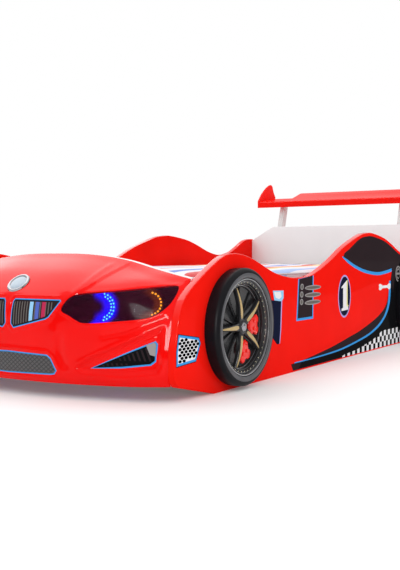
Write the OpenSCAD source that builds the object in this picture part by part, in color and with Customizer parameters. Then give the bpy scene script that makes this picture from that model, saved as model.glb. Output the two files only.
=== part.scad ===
// Racing-car bed for a small child. Two shaped side boards, a headboard and a footboard carry a
// slatted base; a moulded nose with lit headlights closes the front, four moulded wheels dress the
// sides and a wing on two posts stands behind the headboard.
// The nose points towards -Y, the bed's left side is +X, and the floor is z = 0.

/* [Boards] */
// Distance between the outer faces of the two side boards
body_w = 965; // [955:1:975]
// Thickness of each side board
side_t = 22; // [20:1:24]
// Thickness of the headboard and of the footboard
board_t = 18; // [16:1:18]
// Height of the headboard's top edge above the floor
head_h = 518; // [500:1:530]
// Gap under the headboard and the footboard
board_gap = 40; // [30:1:50]
// Front face of the headboard, measured from the origin
head_y = 994.5; // [990:0.5:1000]

/* [Slatted base and mattress] */
// Height of the slats' underside
base_z = 190; // [170:1:200]
// Thickness of a slat
slat_t = 18; // [14:1:20]
// Width of a slat along the bed
slat_w = 68; // [50:1:80]
// Number of slats
slat_count = 14; // [10:1:16]
// Width of the mattress
mattress_w = 900; // [880:1:905]
// Length of the mattress
mattress_l = 1990; // [1960:1:1995]
// Height of the mattress's top face above the floor
mattress_top = 330; // [300:1:340]

/* [Nose] */
// Wall thickness of the moulded nose
nose_t = 4; // [3:0.5:5]
// Width of the screw flange inside the nose's two sides
nose_flange = 26; // [20:1:30]
// Radius of the round badge blank on the bonnet
badge_r = 34; // [28:1:36]
// Depth of the lamp trays behind the lenses
lamp_depth = 30; // [26:1:32]

/* [Wheels] */
// Outer radius of a tyre
tyre_r = 165; // [155:1:168]
// How far a tyre stands out from the side board
tyre_w = 43; // [38:1:46]
// Radius of the opening that the rim sits in
rim_r = 137; // [132:1:140]
// Height of the wheel centres above the floor
axle_z = 174; // [170:1:180]
// Distance of the front wheels' centre in front of the origin
front_axle = 833; // [825:1:840]
// Distance of the rear wheels' centre behind the origin
rear_axle = 683; // [675:1:690]
// Number of spokes
spoke_count = 5; // [3:1:7]

/* [Wing] */
// Width of the wing's blade
wing_w = 886; // [860:1:900]
// Thickness of an endplate
endplate_t = 8; // [6:1:10]
// Distance of each post from the centre
post_x = 320; // [280:1:340]
// Width of a post
post_w = 28; // [24:1:40]

/* [Light control] */
// Width, height and depth of the control box
control_size = [110, 70, 34]; // [30:1:120]
// Radius of the push button
button_r = 9; // [7:0.5:10]
// Travel of the push button
button_travel = 3; // [2:0.5:4]
// Radius of the cable between the control box and the headlights
loom_r = 3.5; // [3:0.5:4]

/* [Hidden] */
$fn = 48;

outer_x = body_w / 2;              // outer face of a side board
inner_x = outer_x - side_t;        // inner face of a side board
head_rear = head_y + board_t;      // rear face of the headboard
foot_y = -1027;                    // front face of the footboard, where the nose's rear edge lies
foot_rear = foot_y + board_t;      // rear face of the footboard
slat_top = base_z + slat_t;
rest_gap = 0.3;                    // air between the mattress and what it lies on
fit = 0.3;                         // radial clearance round the moving button
joint_gap = 0.2;                   // gap between pieces that are pushed together
red = [0.9, 0.06, 0.04];
pale = [0.93, 0.93, 0.92];
dark = [0.1, 0.1, 0.11];
steel = [0.72, 0.73, 0.75];
pine = [0.86, 0.72, 0.5];

// Catmull-Rom curve through a list of points, each span divided into n steps
function blend4(a, b, c, d, t) =
    0.5 * (2 * b + (c - a) * t + (2 * a - 5 * b + 4 * c - d) * t * t + (3 * b - a - 3 * c + d) * t * t * t);
function span_point(p, i, t) =
    blend4(p[max(i - 1, 0)], p[i], p[i + 1], p[min(i + 2, len(p) - 1)], t);
function smooth(p, n) =
    [for (i = [0 : len(p) - 2], k = [0 : n - 1]) span_point(p, i, k / n), p[len(p) - 1]];
// The same curve, closed
function wrap(p, i) = p[(i + len(p)) % len(p)];
function smooth_loop(p, n) =
    [for (i = [0 : len(p) - 1], k = [0 : n - 1])
        blend4(wrap(p, i - 1), wrap(p, i), wrap(p, i + 1), wrap(p, i + 2), k / n)];
function arc(centre, r, from, to, n) =
    [for (k = [0 : n]) let (a = from + (to - from) * k / n) centre + r * [cos(a), sin(a)]];

// Extrudes a (y, z) outline along x, from x0 to x1
module along_x(x0, x1) {
    translate([x0, 0, 0]) rotate([90, 0, 90]) linear_extrude(x1 - x0) children();
}
// Extrudes an (x, z) outline along y, from y0 to y1
module along_y(y0, y1) {
    translate([0, y1, 0]) rotate([90, 0, 0]) linear_extrude(y1 - y0) children();
}
module both_sides() {
    children();
    mirror([1, 0, 0]) children();
}
module on_side(side) {
    if (side > 0) children();
    else mirror([1, 0, 0]) children();
}
// A box from its lowest to its highest corner
module box(low, high) {
    translate(low) cube(high - low);
}
// Countersunk wood screw that points along +Z, its head's top at z = 0
module wood_screw(length, r = 2, head_r = 4) {
    rotate_extrude() polygon([[0, 0], [head_r, 0], [r, head_r - r], [r, length - 2 * r], [0, length]]);
}

// ---- side boards -------------------------------------------------------------------------------
// Top edge of a side board in (y, z): over the front wheel, down to the door, over the rear wheel
side_top = [
    [-1137, 73], [-1135, 132], [-1126, 175], [-1111, 233], [-1083, 271], [-1015, 315], [-906, 368],
    [-831, 379], [-737, 366], [-598, 323], [-500, 306], [-418, 302], [-313, 310], [-174, 352],
    [-37, 406], [112, 448], [175, 457], [236, 459], [362, 444], [452, 422], [567, 387], [668, 373],
    [763, 385], [829, 409], [908, 444], [955, 454], [1002, 455], [1028, 444], [1038, 420]
];
side_toe = [[-943, 0], [-1120, 40], [-1133, 54]];

module side_panel() {
    color(red) along_x(inner_x, outer_x)
        polygon(concat(smooth(side_top, 5), [[1038, 0]], side_toe));
}
module side_panel_left() { side_panel(); }
module side_panel_right() { mirror([1, 0, 0]) side_panel(); }

// ---- headboard, footboard ----------------------------------------------------------------------
head_shoulder = [449, 340];       // height where the chamfer starts, half-width where it ends
cable_x = -345;                   // where the lighting cable passes through the headboard
cable_z = 125;
cable_hole_r = 7;
foot_cable_x = -425;              // where the lighting cable passes through the footboard

module headboard() {
    w = inner_x - joint_gap;
    color(pale) difference() {
        along_y(head_y, head_rear) polygon([
            [-w, board_gap], [w, board_gap], [w, head_shoulder[0]], [head_shoulder[1], head_h],
            [-head_shoulder[1], head_h], [-w, head_shoulder[0]]
        ]);
        translate([cable_x, head_y - 1, cable_z]) rotate([-90, 0, 0])
            cylinder(r = cable_hole_r, h = board_t + 2);
    }
}

foot_proud = [0.2, 0.2, 0.8, 1.8, 2.4]; // how far its top edge shows above the nose, profile by profile
module footboard() {
    top = [for (i = [0 : len(nose_x) - 1]) [nose_x[i], nose_sections[i][0][1] + foot_proud[i]]];
    right_to_left = smooth(concat([for (i = [len(top) - 1 : -1 : 1]) [-top[i][0], top[i][1]]], top), 6);
    color(pale) difference() {
        along_y(foot_y, foot_rear)
            polygon(concat([[inner_x - 1, board_gap], [1 - inner_x, board_gap]], right_to_left));
        translate([foot_cable_x, foot_y - 1, cable_z]) rotate([-90, 0, 0])
            cylinder(r = cable_hole_r, h = board_t + 2);
    }
}

// ---- slatted base ------------------------------------------------------------------------------
ledger_size = [30, 40];           // width and height of the strips that carry the slats
beam_size = [40, 50];
base_front = foot_rear + 14;
base_rear = head_y - 4;
slat_pitch = (base_rear - base_front - slat_w - 20) / (slat_count - 1);

module ledger() {
    color(pine) box([inner_x - ledger_size[0], base_front, base_z - ledger_size[1]],
                    [inner_x, base_rear, base_z]);
}
module ledger_left() { ledger(); }
module ledger_right() { mirror([1, 0, 0]) ledger(); }

module centre_beam() {
    color(pine) box([-beam_size[0] / 2, foot_rear, base_z - beam_size[1]],
                    [beam_size[0] / 2, head_y, base_z]);
}

module beam_legs() {
    color(pine) for (y = [-620, 0, 620])
        box([-22, y - 22, 0], [22, y + 22, base_z - beam_size[1]]);
}

module slats() {
    color(pine) for (i = [0 : slat_count - 1])
        box([-inner_x + 3, base_front + 10 + i * slat_pitch, base_z],
            [inner_x - 3, base_front + 10 + i * slat_pitch + slat_w, slat_top]);
}

// Webbing that keeps the slats apart: it runs under them, just inside each ledger
module slat_tapes() {
    color(dark) both_sides()
        box([inner_x - ledger_size[0] - 24, base_front + 12, base_z - 1.2],
            [inner_x - ledger_size[0] - 4, base_rear - 12, base_z]);
}

ledger_screw_y = [for (i = [0 : 8]) -920 + i * 230];
module ledger_screws() {
    color(steel) both_sides() for (y = ledger_screw_y)
        translate([inner_x - ledger_size[0], y, base_z - 18]) rotate([0, 90, 0]) wood_screw(44);
}

// Steel angles in the four corners, one low and one high
bracket_arm = 45;
bracket_h = 40;
bracket_t = 3;
bracket_hole = 2.4;
bracket_z = [70, 225];
// Runs its children in each corner: x grows towards the side board and y towards the end board
module at_corners() {
    both_sides() for (z = bracket_z) {
        translate([inner_x, head_y, z]) children();
        translate([inner_x, foot_rear, z]) mirror([0, 1, 0]) children();
    }
}
module corner_brackets() {
    color(steel) at_corners() difference() {
        along_z_angle();
        for (d = [14, 34]) {
            translate([-bracket_t - 1, -d, bracket_h / 2]) rotate([0, 90, 0])
                cylinder(r = bracket_hole, h = bracket_t + 2);
            translate([-d, 1, bracket_h / 2]) rotate([90, 0, 0])
                cylinder(r = bracket_hole, h = bracket_t + 2);
        }
    }
}
module along_z_angle() {
    linear_extrude(bracket_h) polygon([
        [0, 0], [-bracket_arm, 0], [-bracket_arm, -bracket_t], [-bracket_t, -bracket_t],
        [-bracket_t, -bracket_arm], [0, -bracket_arm]
    ]);
}
module bracket_screws() {
    color(steel) at_corners() for (d = [14, 34]) {
        translate([-bracket_t - 2, -d, bracket_h / 2]) rotate([0, 90, 0]) wood_screw(20);
        translate([-d, -bracket_t - 2, bracket_h / 2]) rotate([-90, 0, 0]) wood_screw(18);
    }
}

// ---- mattress ----------------------------------------------------------------------------------
mattress_corner = 30;
module mattress() {
    front = (foot_rear + head_y - mattress_l) / 2;
    color("lightblue") translate([0, 0, slat_top + rest_gap])
        linear_extrude(mattress_top - slat_top - rest_gap)
            rounded_rect([-mattress_w / 2, front], [mattress_w / 2, front + mattress_l], mattress_corner);
}
module rounded_rect(low, high, r) {
    translate(low + [r, 0]) square(high - low - [2 * r, 0]);
    translate(low + [0, r]) square(high - low - [0, 2 * r]);
    for (x = [low[0] + r, high[0] - r], y = [low[1] + r, high[1] - r]) translate([x, y]) circle(r);
}

// ---- moulded nose ------------------------------------------------------------------------------
// The nose is a loft through five profiles at these distances from the centre. Each profile runs in
// (y, z) from the bonnet's rear edge, over the front lip and down the bumper to its lower edge.
nose_x = [0, 130, 250, 360, inner_x - 0.5];
nose_sections = [
    [[-1027, 379], [-1090, 354], [-1140, 330], [-1187, 298], [-1218, 268],
     [-1229, 230], [-1232, 180], [-1234, 120], [-1234, 60], [-1226, 38]],
    [[-1027, 376], [-1090, 351], [-1140, 328], [-1184, 297], [-1214, 268],
     [-1224, 230], [-1228, 180], [-1229, 120], [-1229, 60], [-1221, 38]],
    [[-1027, 361], [-1088, 337], [-1136, 316], [-1170, 297], [-1197, 270],
     [-1205, 230], [-1207, 180], [-1209, 120], [-1209, 60], [-1201, 38]],
    [[-1027, 334], [-1075, 322], [-1112, 310], [-1142, 292], [-1164, 268],
     [-1172, 230], [-1175, 180], [-1177, 120], [-1177, 60], [-1169, 38]],
    [[-1027, 312], [-1048, 297], [-1066, 284], [-1083, 270], [-1098, 252],
     [-1111, 230], [-1125, 178], [-1135, 125], [-1136, 72], [-1126, 40]]
];
last_section = len(nose_x) - 1;
last_knot = len(nose_sections[0]) - 1;
across = 7;                       // steps between two profiles
down = 3;                         // steps between two knots of a profile
columns = 2 * last_section * across;
rows = last_knot * down;

function profile_point(s, v) = let (i = min(floor(v), last_knot - 1)) span_point(nose_sections[s], i, v - i);
function section_point(s, v) =
    let (a = min(abs(s), last_section), yz = profile_point(a, v)) [sign(s) * nose_x[a], yz[0], yz[1]];
// A point of the outer surface: u runs from -last_section to last_section, v along the profile
function nose_point(u, v) =
    let (i = min(floor(u), last_section - 1))
    blend4(section_point(i - 1, v), section_point(i, v), section_point(i + 1, v),
           section_point(i + 2, v), u - i);
function nose_uv(i, j) = [i / across - last_section, j / down];
function nose_normal(uv) =
    let (
        e = 0.02, u = uv[0], v = uv[1],
        du = nose_point(min(u + e, last_section), v) - nose_point(max(u - e, -last_section), v),
        dv = nose_point(u, min(v + e, last_knot)) - nose_point(u, max(v - e, 0)),
        n = cross(dv, du)
    ) n / norm(n);
// The surface moved inwards by d. The outermost columns keep their x, so the sides stay flat
function nose_inner(i, j, d) =
    let (uv = nose_uv(i, j), n = nose_normal(uv), side = i == 0 || i == columns)
    nose_point(uv[0], uv[1]) - d * [side ? 0 : n[0], j == 0 ? 0 : n[1], j == rows ? 0 : n[2]];

// The solid between the surface moved in by d0 and by d1
module nose_layer(d0, d1) {
    per_row = rows + 1;
    count = (columns + 1) * per_row;
    points = concat(
        [for (i = [0 : columns], j = [0 : rows]) nose_inner(i, j, d0)],
        [for (i = [0 : columns], j = [0 : rows]) nose_inner(i, j, d1)]);
    function at(i, j) = i * per_row + j;
    outside = [for (i = [0 : columns - 1], j = [0 : rows - 1])
        each [[at(i, j), at(i + 1, j), at(i + 1, j + 1)], [at(i, j), at(i + 1, j + 1), at(i, j + 1)]]];
    inside = [for (f = outside) [f[2] + count, f[1] + count, f[0] + count]];
    edge = concat(
        [for (i = [0 : columns - 1]) [at(i, 0), at(i + 1, 0)]],
        [for (j = [0 : rows - 1]) [at(columns, j), at(columns, j + 1)]],
        [for (i = [columns : -1 : 1]) [at(i, rows), at(i - 1, rows)]],
        [for (j = [rows : -1 : 1]) [at(0, j), at(0, j - 1)]]);
    rim = [for (e = edge) each [[e[1], e[0], e[0] + count], [e[1], e[0] + count, e[1] + count]]];
    polyhedron(points, concat(outside, inside, rim));
}

// Headlight outline in (x, z), seen from the front
lamp_outline = [
    [180, 230], [189, 252], [207, 268], [232, 276], [282, 281], [354, 288], [410, 295], [438, 297],
    [449, 290], [453, 270], [448, 248], [433, 229], [413, 217], [385, 211], [339, 206], [251, 199],
    [226, 205], [206, 216]
];
module lamp_prism(grow, rear = -1000) {
    along_y(-1240, rear) offset(delta = grow) polygon(smooth_loop(lamp_outline, 2));
}

module nose_side_flange() {
    rear = foot_y - joint_gap;
    outer = [for (j = [0 : rows]) let (p = nose_inner(columns, j, nose_t / 2)) [min(p[1], rear), p[2]]];
    inner = [for (j = [rows : -1 : 0]) let (p = nose_inner(columns, j, nose_flange)) [min(p[1], rear), p[2]]];
    along_x(nose_x[last_section] - nose_t, nose_x[last_section]) polygon(concat(outer, inner));
}

module front_shell() {
    color(red) difference() {
        union() {
            nose_layer(0, nose_t);
            both_sides() nose_side_flange();
        }
        both_sides() lamp_prism(0);
    }
}

flange_screw_knots = [5, 7, 8];
module nose_screws() {
    color(steel) both_sides() for (v = flange_screw_knots) {
        p = nose_inner(columns, v * down, nose_flange * 0.6);
        translate([nose_x[last_section] - nose_t - 2, p[1], p[2]]) rotate([0, 90, 0]) wood_screw(20);
    }
}

badge_y = -1187;                  // where the badge blank sits on the bonnet
badge_z = 297;
badge_tilt = 42;                  // slope of the bonnet there, from the horizontal
module badge_blank() {
    color(steel) translate([0, badge_y, badge_z]) rotate([badge_tilt, 0, 0])
        rotate_extrude() polygon([[0, -2], [badge_r - 2, -2], [badge_r, 1], [badge_r - 2, 4], [0, 5]]);
}

// ---- headlights --------------------------------------------------------------------------------
lens_t = 3;
tray_wall = 2.4;
tray_margin = 2.6;                // how far the tray reaches past the lens, behind the nose
tray_rear = foot_y - 4;           // the tray stops short of the footboard
module headlight_lens(side) {
    color([0.12, 0.05, 0.12, 0.8]) on_side(side) intersection() {
        nose_layer(0.3, lens_t);
        lamp_prism(-0.5);
    }
}
module headlight_lens_left() { headlight_lens(1); }
module headlight_lens_right() { headlight_lens(-1); }

module headlight_housing(side) {
    color(dark) on_side(side) difference() {
        intersection() {
            nose_layer(nose_t + 0.3, lamp_depth);
            lamp_prism(tray_margin, tray_rear);
        }
        intersection() {
            nose_layer(nose_t - 1, lamp_depth - tray_wall);
            lamp_prism(tray_margin - tray_wall, tray_rear - tray_wall);
        }
    }
}
module headlight_housing_left() { headlight_housing(1); }
module headlight_housing_right() { headlight_housing(-1); }

// A part ring of lamps on a narrow board, its face pointing along +Z before it is placed
module led_ring(r, tint) {
    color(tint) {
        rotate_extrude(angle = 156, start = -78) translate([r - 3, -1.6]) square([6, 1.6]);
        for (k = [0 : 10]) rotate([0, 0, -75 + 15 * k]) translate([r, 0, 0])
            cylinder(r = 2, h = 3, $fn = 16);
    }
}
blue_ring = [[283, -1180.5, 241], 35, 20, 82];      // centre, radius, turn about z, tilt
amber_ring = [[396, -1124, 250], 30, 31, 73];
module placed_ring(ring, tint, side) {
    on_side(side) translate(ring[0]) rotate([0, 0, ring[2]]) rotate([ring[3], 0, 0]) led_ring(ring[1], tint);
}
module led_ring_blue_left() { placed_ring(blue_ring, "blue", 1); }
module led_ring_blue_right() { placed_ring(blue_ring, "blue", -1); }
module led_ring_amber_left() { placed_ring(amber_ring, "orange", 1); }
module led_ring_amber_right() { placed_ring(amber_ring, "orange", -1); }

// ---- wheels ------------------------------------------------------------------------------------
// Places a wheel piece whose axis is +Z and whose back is z = 0 against the side board
module at_wheel(y, side) {
    on_side(side) translate([outer_x, y, axle_z]) rotate([0, 90, 0]) children();
}
shoulder_r = 13;
rim_depth = 37;                   // height of the rim's outer edge above its back
rim_floor = 8;
hub_r = 22;
hub_h = 27;

module tyre() {
    color(dark) rotate_extrude($fn = 96) polygon(concat(
        [[rim_r, 0], [tyre_r - 1, 0]],
        [[tyre_r, 6]],
        arc([tyre_r - shoulder_r, tyre_w - shoulder_r - 1], shoulder_r, 0, 78, 5),
        [[rim_r + 7, tyre_w], [rim_r + 3, tyre_w - 1], [rim_r, tyre_w - 5]]));
}
// Spoke outline in (radius, half width), tapered from the hub to the barrel, and its arched top
spoke_half = [[14, 12.5], [60, 7.8], [118, 5]];
spoke_arch = [[14, 24.5], [30, 27.5], [50, 30], [72, 31], [95, 29], [119, 24.5]];
module rim() {
    edge = rim_r - joint_gap;
    color([0.22, 0.22, 0.24]) {
        rotate_extrude($fn = 96) polygon([
            [0, 0], [edge, 0], [edge, rim_depth], [edge - 5, rim_depth], [edge - 8, rim_depth - 4],
            [edge - 15, rim_depth - 7], [edge - 19, rim_floor + 6], [edge - 25, rim_floor],
            [hub_r, rim_floor], [hub_r, hub_h - 3], [hub_r - 3, hub_h], [0, hub_h]
        ]);
        intersection() {
            for (k = [0 : spoke_count - 1]) rotate([0, 0, -90 - k * 360 / spoke_count])
                translate([0, 0, rim_floor - 1]) linear_extrude(rim_depth)
                    polygon(concat(spoke_half,
                        [for (i = [len(spoke_half) - 1 : -1 : 0]) [spoke_half[i][0], -spoke_half[i][1]]]));
            rotate_extrude($fn = 96) polygon(concat([[0, rim_floor - 1], [0, spoke_arch[0][1]]], spoke_arch,
                [[spoke_arch[len(spoke_arch) - 1][0], rim_floor - 1]]));
        }
    }
}
// Two moulded brake calipers between the spokes, on the wheel's rear side
module calipers() {
    color("red") for (a = [90, 18]) rotate([0, 0, a])
        translate([0, 0, rim_floor]) linear_extrude(11)
            polygon([[44, -13], [56, -24], [92, -29], [103, -20], [103, 20], [92, 29], [56, 24], [44, 13]]);
}
module hub_cap() {
    color(steel) translate([0, 0, hub_h]) rotate_extrude()
        polygon([[0, 0], [12, 0], [12, 2], [9, 4], [0, 4.5]]);
}
module tyre_front_left() { at_wheel(-front_axle, 1) tyre(); }
module tyre_front_right() { at_wheel(-front_axle, -1) tyre(); }
module tyre_rear_left() { at_wheel(rear_axle, 1) tyre(); }
module tyre_rear_right() { at_wheel(rear_axle, -1) tyre(); }
module rim_front_left() { at_wheel(-front_axle, 1) rim(); }
module rim_front_right() { at_wheel(-front_axle, -1) rim(); }
module rim_rear_left() { at_wheel(rear_axle, 1) rim(); }
module rim_rear_right() { at_wheel(rear_axle, -1) rim(); }
module calipers_front_left() { at_wheel(-front_axle, 1) calipers(); }
module calipers_front_right() { at_wheel(-front_axle, -1) calipers(); }
module calipers_rear_left() { at_wheel(rear_axle, 1) calipers(); }
module calipers_rear_right() { at_wheel(rear_axle, -1) calipers(); }
module hub_cap_front_left() { at_wheel(-front_axle, 1) hub_cap(); }
module hub_cap_front_right() { at_wheel(-front_axle, -1) hub_cap(); }
module hub_cap_rear_left() { at_wheel(rear_axle, 1) hub_cap(); }
module hub_cap_rear_right() { at_wheel(rear_axle, -1) hub_cap(); }

// Screws driven from inside the bed, through the side board and into the rims' backs
module wheel_screws() {
    color(steel) both_sides() for (y = [-front_axle, rear_axle], a = [30, 150, 270])
        translate([inner_x - 1, y + 105 * cos(a), axle_z + 105 * sin(a)]) rotate([0, 90, 0])
            wood_screw(side_t + 6);
}

// ---- wing --------------------------------------------------------------------------------------
wing_section = [
    [1038, 620], [1060, 622], [1120, 640], [1218, 668], [1216, 677], [1170, 674], [1110, 665], [1037, 650]
];
wing_lip = [[1140, 664], [1216, 668], [1234, 690], [1232, 703], [1200, 698]];
lip_half = 300;
endplate = [
    [1038, 620], [1060, 622], [1120, 640], [1218, 668], [1234, 684], [1210, 713], [1197, 740], [1186, 750],
    [1167, 750], [1126, 731], [1079, 699], [1050, 670], [1037, 656]
];
post = [
    [head_rear, 230], [head_rear, 440], [1074, 626.2], [1108, 636.4], [1046, 420], [1032, 340], [1032, 230]
];

module wing_blade() {
    color(red) {
        along_x(-wing_w / 2, wing_w / 2) polygon(wing_section);
        along_x(-lip_half, lip_half) polygon(wing_lip);
    }
}
module wing_endplate(side) {
    color(red) on_side(side) along_x(wing_w / 2, wing_w / 2 + endplate_t) polygon(endplate);
}
module wing_endplate_left() { wing_endplate(1); }
module wing_endplate_right() { wing_endplate(-1); }
module wing_post(side) {
    color(pale) on_side(side) along_x(post_x - post_w / 2, post_x + post_w / 2) polygon(post);
}
module wing_post_left() { wing_post(1); }
module wing_post_right() { wing_post(-1); }
module wing_screws() {
    color(steel) both_sides() {
        for (z = [250, 300]) translate([post_x, head_y, z]) rotate([-90, 0, 0]) wood_screw(34);
        translate([post_x, 1086, 640]) rotate([162, 0, 0]) translate([0, 0, -14]) wood_screw(40);
    }
}

// ---- light control -----------------------------------------------------------------------------
box_x = cable_x;                  // the control box covers the cable hole in the headboard
box_z = cable_z;
box_wall = 2.5;
box_rear = head_rear + control_size[2];
button_x = box_x + 28;
inlet_x = box_x - 25;
inlet_y = head_rear + 17;
inlet_r = 6;

module control_box() {
    half = control_size / 2;
    color(dark) difference() {
        along_y(head_rear, box_rear)
            rounded_rect([box_x - half[0], box_z - half[1]], [box_x + half[0], box_z + half[1]], 6);
        along_y(head_rear - 1, box_rear - box_wall)
            rounded_rect([box_x - half[0] + box_wall, box_z - half[1] + box_wall],
                         [box_x + half[0] - box_wall, box_z + half[1] - box_wall], 4);
        translate([button_x, box_rear - 5, box_z]) rotate([-90, 0, 0]) cylinder(r = button_r + 2, h = 10);
        translate([inlet_x, inlet_y, box_z - half[1] - 1]) cylinder(r = inlet_r, h = 5);
    }
}
board_y = head_rear + 9;
module circuit_board() {
    half = control_size / 2;
    color("darkgreen") {
        box([box_x - half[0] + 5, board_y, box_z - half[1] + 22],
            [box_x + half[0] - 5, board_y + 1.6, box_z + half[1] - 6]);
        box([button_x - 5, board_y + 1.6, box_z - 5], [button_x + 5, board_y + 6, box_z + 5]);
        box([box_x - 20, board_y + 1.6, box_z + 8], [box_x - 6, board_y + 4, box_z + 20]);
        for (k = [0 : 3]) translate([box_x - 40 + 7 * k, board_y + 1.6, box_z + 16]) rotate([-90, 0, 0])
            cylinder(r = 2.5, h = 6);
    }
}
module dc_inlet() {
    half = control_size / 2;
    color(dark) translate([inlet_x, inlet_y, box_z - half[1]]) {
        difference() {
            union() {
                translate([0, 0, -2]) cylinder(r = inlet_r + 2.5, h = 2);
                cylinder(r = inlet_r - 0.1, h = 14);
            }
            translate([0, 0, -3]) cylinder(r = 2.9, h = 13);
        }
        translate([0, 0, -1]) cylinder(r = 1, h = 12);
    }
}
module button_bezel() {
    color(steel) translate([button_x, box_rear, box_z]) rotate([-90, 0, 0]) difference() {
        union() {
            translate([0, 0, -3]) cylinder(r = button_r + 1.9, h = 3);
            rotate_extrude()
                polygon([[0, 0], [button_r + 5, 0], [button_r + 5, 1], [button_r + 2, 3], [0, 3]]);
        }
        translate([0, 0, -4]) cylinder(r = button_r + fit, h = 8);
    }
}
// Domed cap on a stem whose end stays clear of the switch by the cap's own travel
button_proud = 7;
module light_button() {
    stem_end = board_y + 6 + button_travel + 0.4;
    color("royalblue") translate([button_x, 0, box_z]) {
        translate([0, box_rear - 8, 0]) rotate([-90, 0, 0]) rotate_extrude() polygon(concat(
            [[0, 0], [button_r, 0]],
            arc([button_r - 2, 8 + button_proud - 2], 2, 0, 90, 4),
            [[0, 8 + button_proud]]));
        translate([0, stem_end, 0]) rotate([-90, 0, 0]) cylinder(r = 2.5, h = box_rear - 7.5 - stem_end);
    }
}

// A round cable swept along a smooth curve through its route's points; no run of it is upright
loom_sides = 12;
function along(p, i) =
    let (d = p[min(i + 1, len(p) - 1)] - p[max(i - 1, 0)]) d / norm(d);
function ring_point(p, i, k) =
    let (
        t = along(p, i), side = cross(t, [0, 0, 1]), a = side / norm(side), b = cross(a, t),
        turn = k * 360 / loom_sides
    ) p[i] + loom_r * (cos(turn) * a + sin(turn) * b);
module cable(route) {
    p = smooth(route, 5);
    last = len(p) - 1;
    sides = loom_sides;
    polyhedron(
        [for (i = [0 : last], k = [0 : sides - 1]) ring_point(p, i, k)],
        concat(
            [[for (k = [0 : sides - 1]) k]],
            [for (i = [0 : last - 1], k = [0 : sides - 1])
                let (n = (k + 1) % sides) each [
                    [i * sides + k, (i + 1) * sides + k, (i + 1) * sides + n],
                    [i * sides + k, (i + 1) * sides + n, i * sides + n]
                ]],
            [[for (k = [sides - 1 : -1 : 0]) last * sides + k]]));
}
// The main cable runs under the right-hand ledger to the right lamp tray; a branch leaves its
// splitter for the left one
loom_x = foot_cable_x;
splitter_y = -1058;
module wiring_loom() {
    color(dark) cable([
        [cable_x, head_rear + 6, cable_z], [cable_x, 985, cable_z], [cable_x - 30, 955, cable_z],
        [loom_x, 920, cable_z], [loom_x, 880, cable_z], [loom_x, -300, cable_z], [loom_x, -980, cable_z],
        [loom_x, splitter_y, cable_z], [-400, -1085, 155], [-370, -1108, 195], [-342, -1128, 232]
    ]);
}
module loom_branch() {
    color(dark) cable([
        [loom_x + 12, splitter_y, cable_z], [-370, splitter_y - 4, 118], [-200, splitter_y - 6, 114],
        [0, splitter_y - 6, 114], [200, splitter_y - 6, 116], [290, -1070, 124], [322, -1090, 160],
        [335, -1112, 195], [337, -1134, 226]
    ]);
}
module cable_splitter() {
    color(pale) along_y(splitter_y - 16, splitter_y + 16)
        rounded_rect([loom_x - 12, cable_z - 9], [loom_x + 14, cable_z + 9], 4);
}
clip_y = [for (i = [0 : 7]) -880 + i * 240];
module loom_clips() {
    color(pale) for (y = clip_y) difference() {
        union() {
            translate([loom_x, y - 5, cable_z]) rotate([-90, 0, 0]) cylinder(r = loom_r + 2.5, h = 10);
            box([loom_x - 15, y - 5, cable_z - 2], [loom_x - 5, y + 5, base_z - ledger_size[1]]);
        }
        translate([loom_x, y - 6, cable_z]) rotate([-90, 0, 0]) cylinder(r = loom_r + 0.1, h = 12);
    }
}

side_panel_left();
side_panel_right();
headboard();
footboard();
ledger_left();
ledger_right();
centre_beam();
beam_legs();
slats();
slat_tapes();
corner_brackets();
bracket_screws();
ledger_screws();
mattress();
front_shell();
nose_screws();
badge_blank();
headlight_lens_left();
headlight_lens_right();
headlight_housing_left();
headlight_housing_right();
led_ring_blue_left();
led_ring_blue_right();
led_ring_amber_left();
led_ring_amber_right();
tyre_front_left();
tyre_front_right();
tyre_rear_left();
tyre_rear_right();
rim_front_left();
rim_front_right();
rim_rear_left();
rim_rear_right();
calipers_front_left();
calipers_front_right();
calipers_rear_left();
calipers_rear_right();
hub_cap_front_left();
hub_cap_front_right();
hub_cap_rear_left();
hub_cap_rear_right();
wheel_screws();
wing_blade();
wing_endplate_left();
wing_endplate_right();
wing_post_left();
wing_post_right();
wing_screws();
control_box();
circuit_board();
dc_inlet();
button_bezel();
light_button();
wiring_loom();
loom_branch();
cable_splitter();
loom_clips();
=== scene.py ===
"""Racing-car bed for a small child: the looks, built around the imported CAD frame.

Outlines and sizes are in millimetres, in the CAD model's frame (nose towards -Y, left side +X,
floor at z = 0); make() turns them into metres.
"""

import math

import bmesh
import bpy
import numpy as np
from mathutils import Matrix, Vector
from mathutils.geometry import delaunay_2d_cdt


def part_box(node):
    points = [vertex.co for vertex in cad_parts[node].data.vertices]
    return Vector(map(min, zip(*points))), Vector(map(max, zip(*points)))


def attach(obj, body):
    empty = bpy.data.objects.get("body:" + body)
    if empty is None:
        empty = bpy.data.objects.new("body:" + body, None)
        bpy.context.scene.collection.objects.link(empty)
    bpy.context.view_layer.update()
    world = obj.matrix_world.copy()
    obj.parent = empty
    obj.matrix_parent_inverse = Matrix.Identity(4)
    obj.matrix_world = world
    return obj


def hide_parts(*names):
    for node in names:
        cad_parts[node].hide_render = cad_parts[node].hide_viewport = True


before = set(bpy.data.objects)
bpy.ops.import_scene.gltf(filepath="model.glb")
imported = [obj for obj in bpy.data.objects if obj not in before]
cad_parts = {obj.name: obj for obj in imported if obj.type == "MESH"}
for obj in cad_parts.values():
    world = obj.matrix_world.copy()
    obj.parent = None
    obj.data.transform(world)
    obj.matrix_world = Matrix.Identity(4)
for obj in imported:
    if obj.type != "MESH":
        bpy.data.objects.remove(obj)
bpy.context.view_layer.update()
MM = 0.001
scene = bpy.context.scene
SIDES = ((1, "left"), (-1, "right"))

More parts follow.
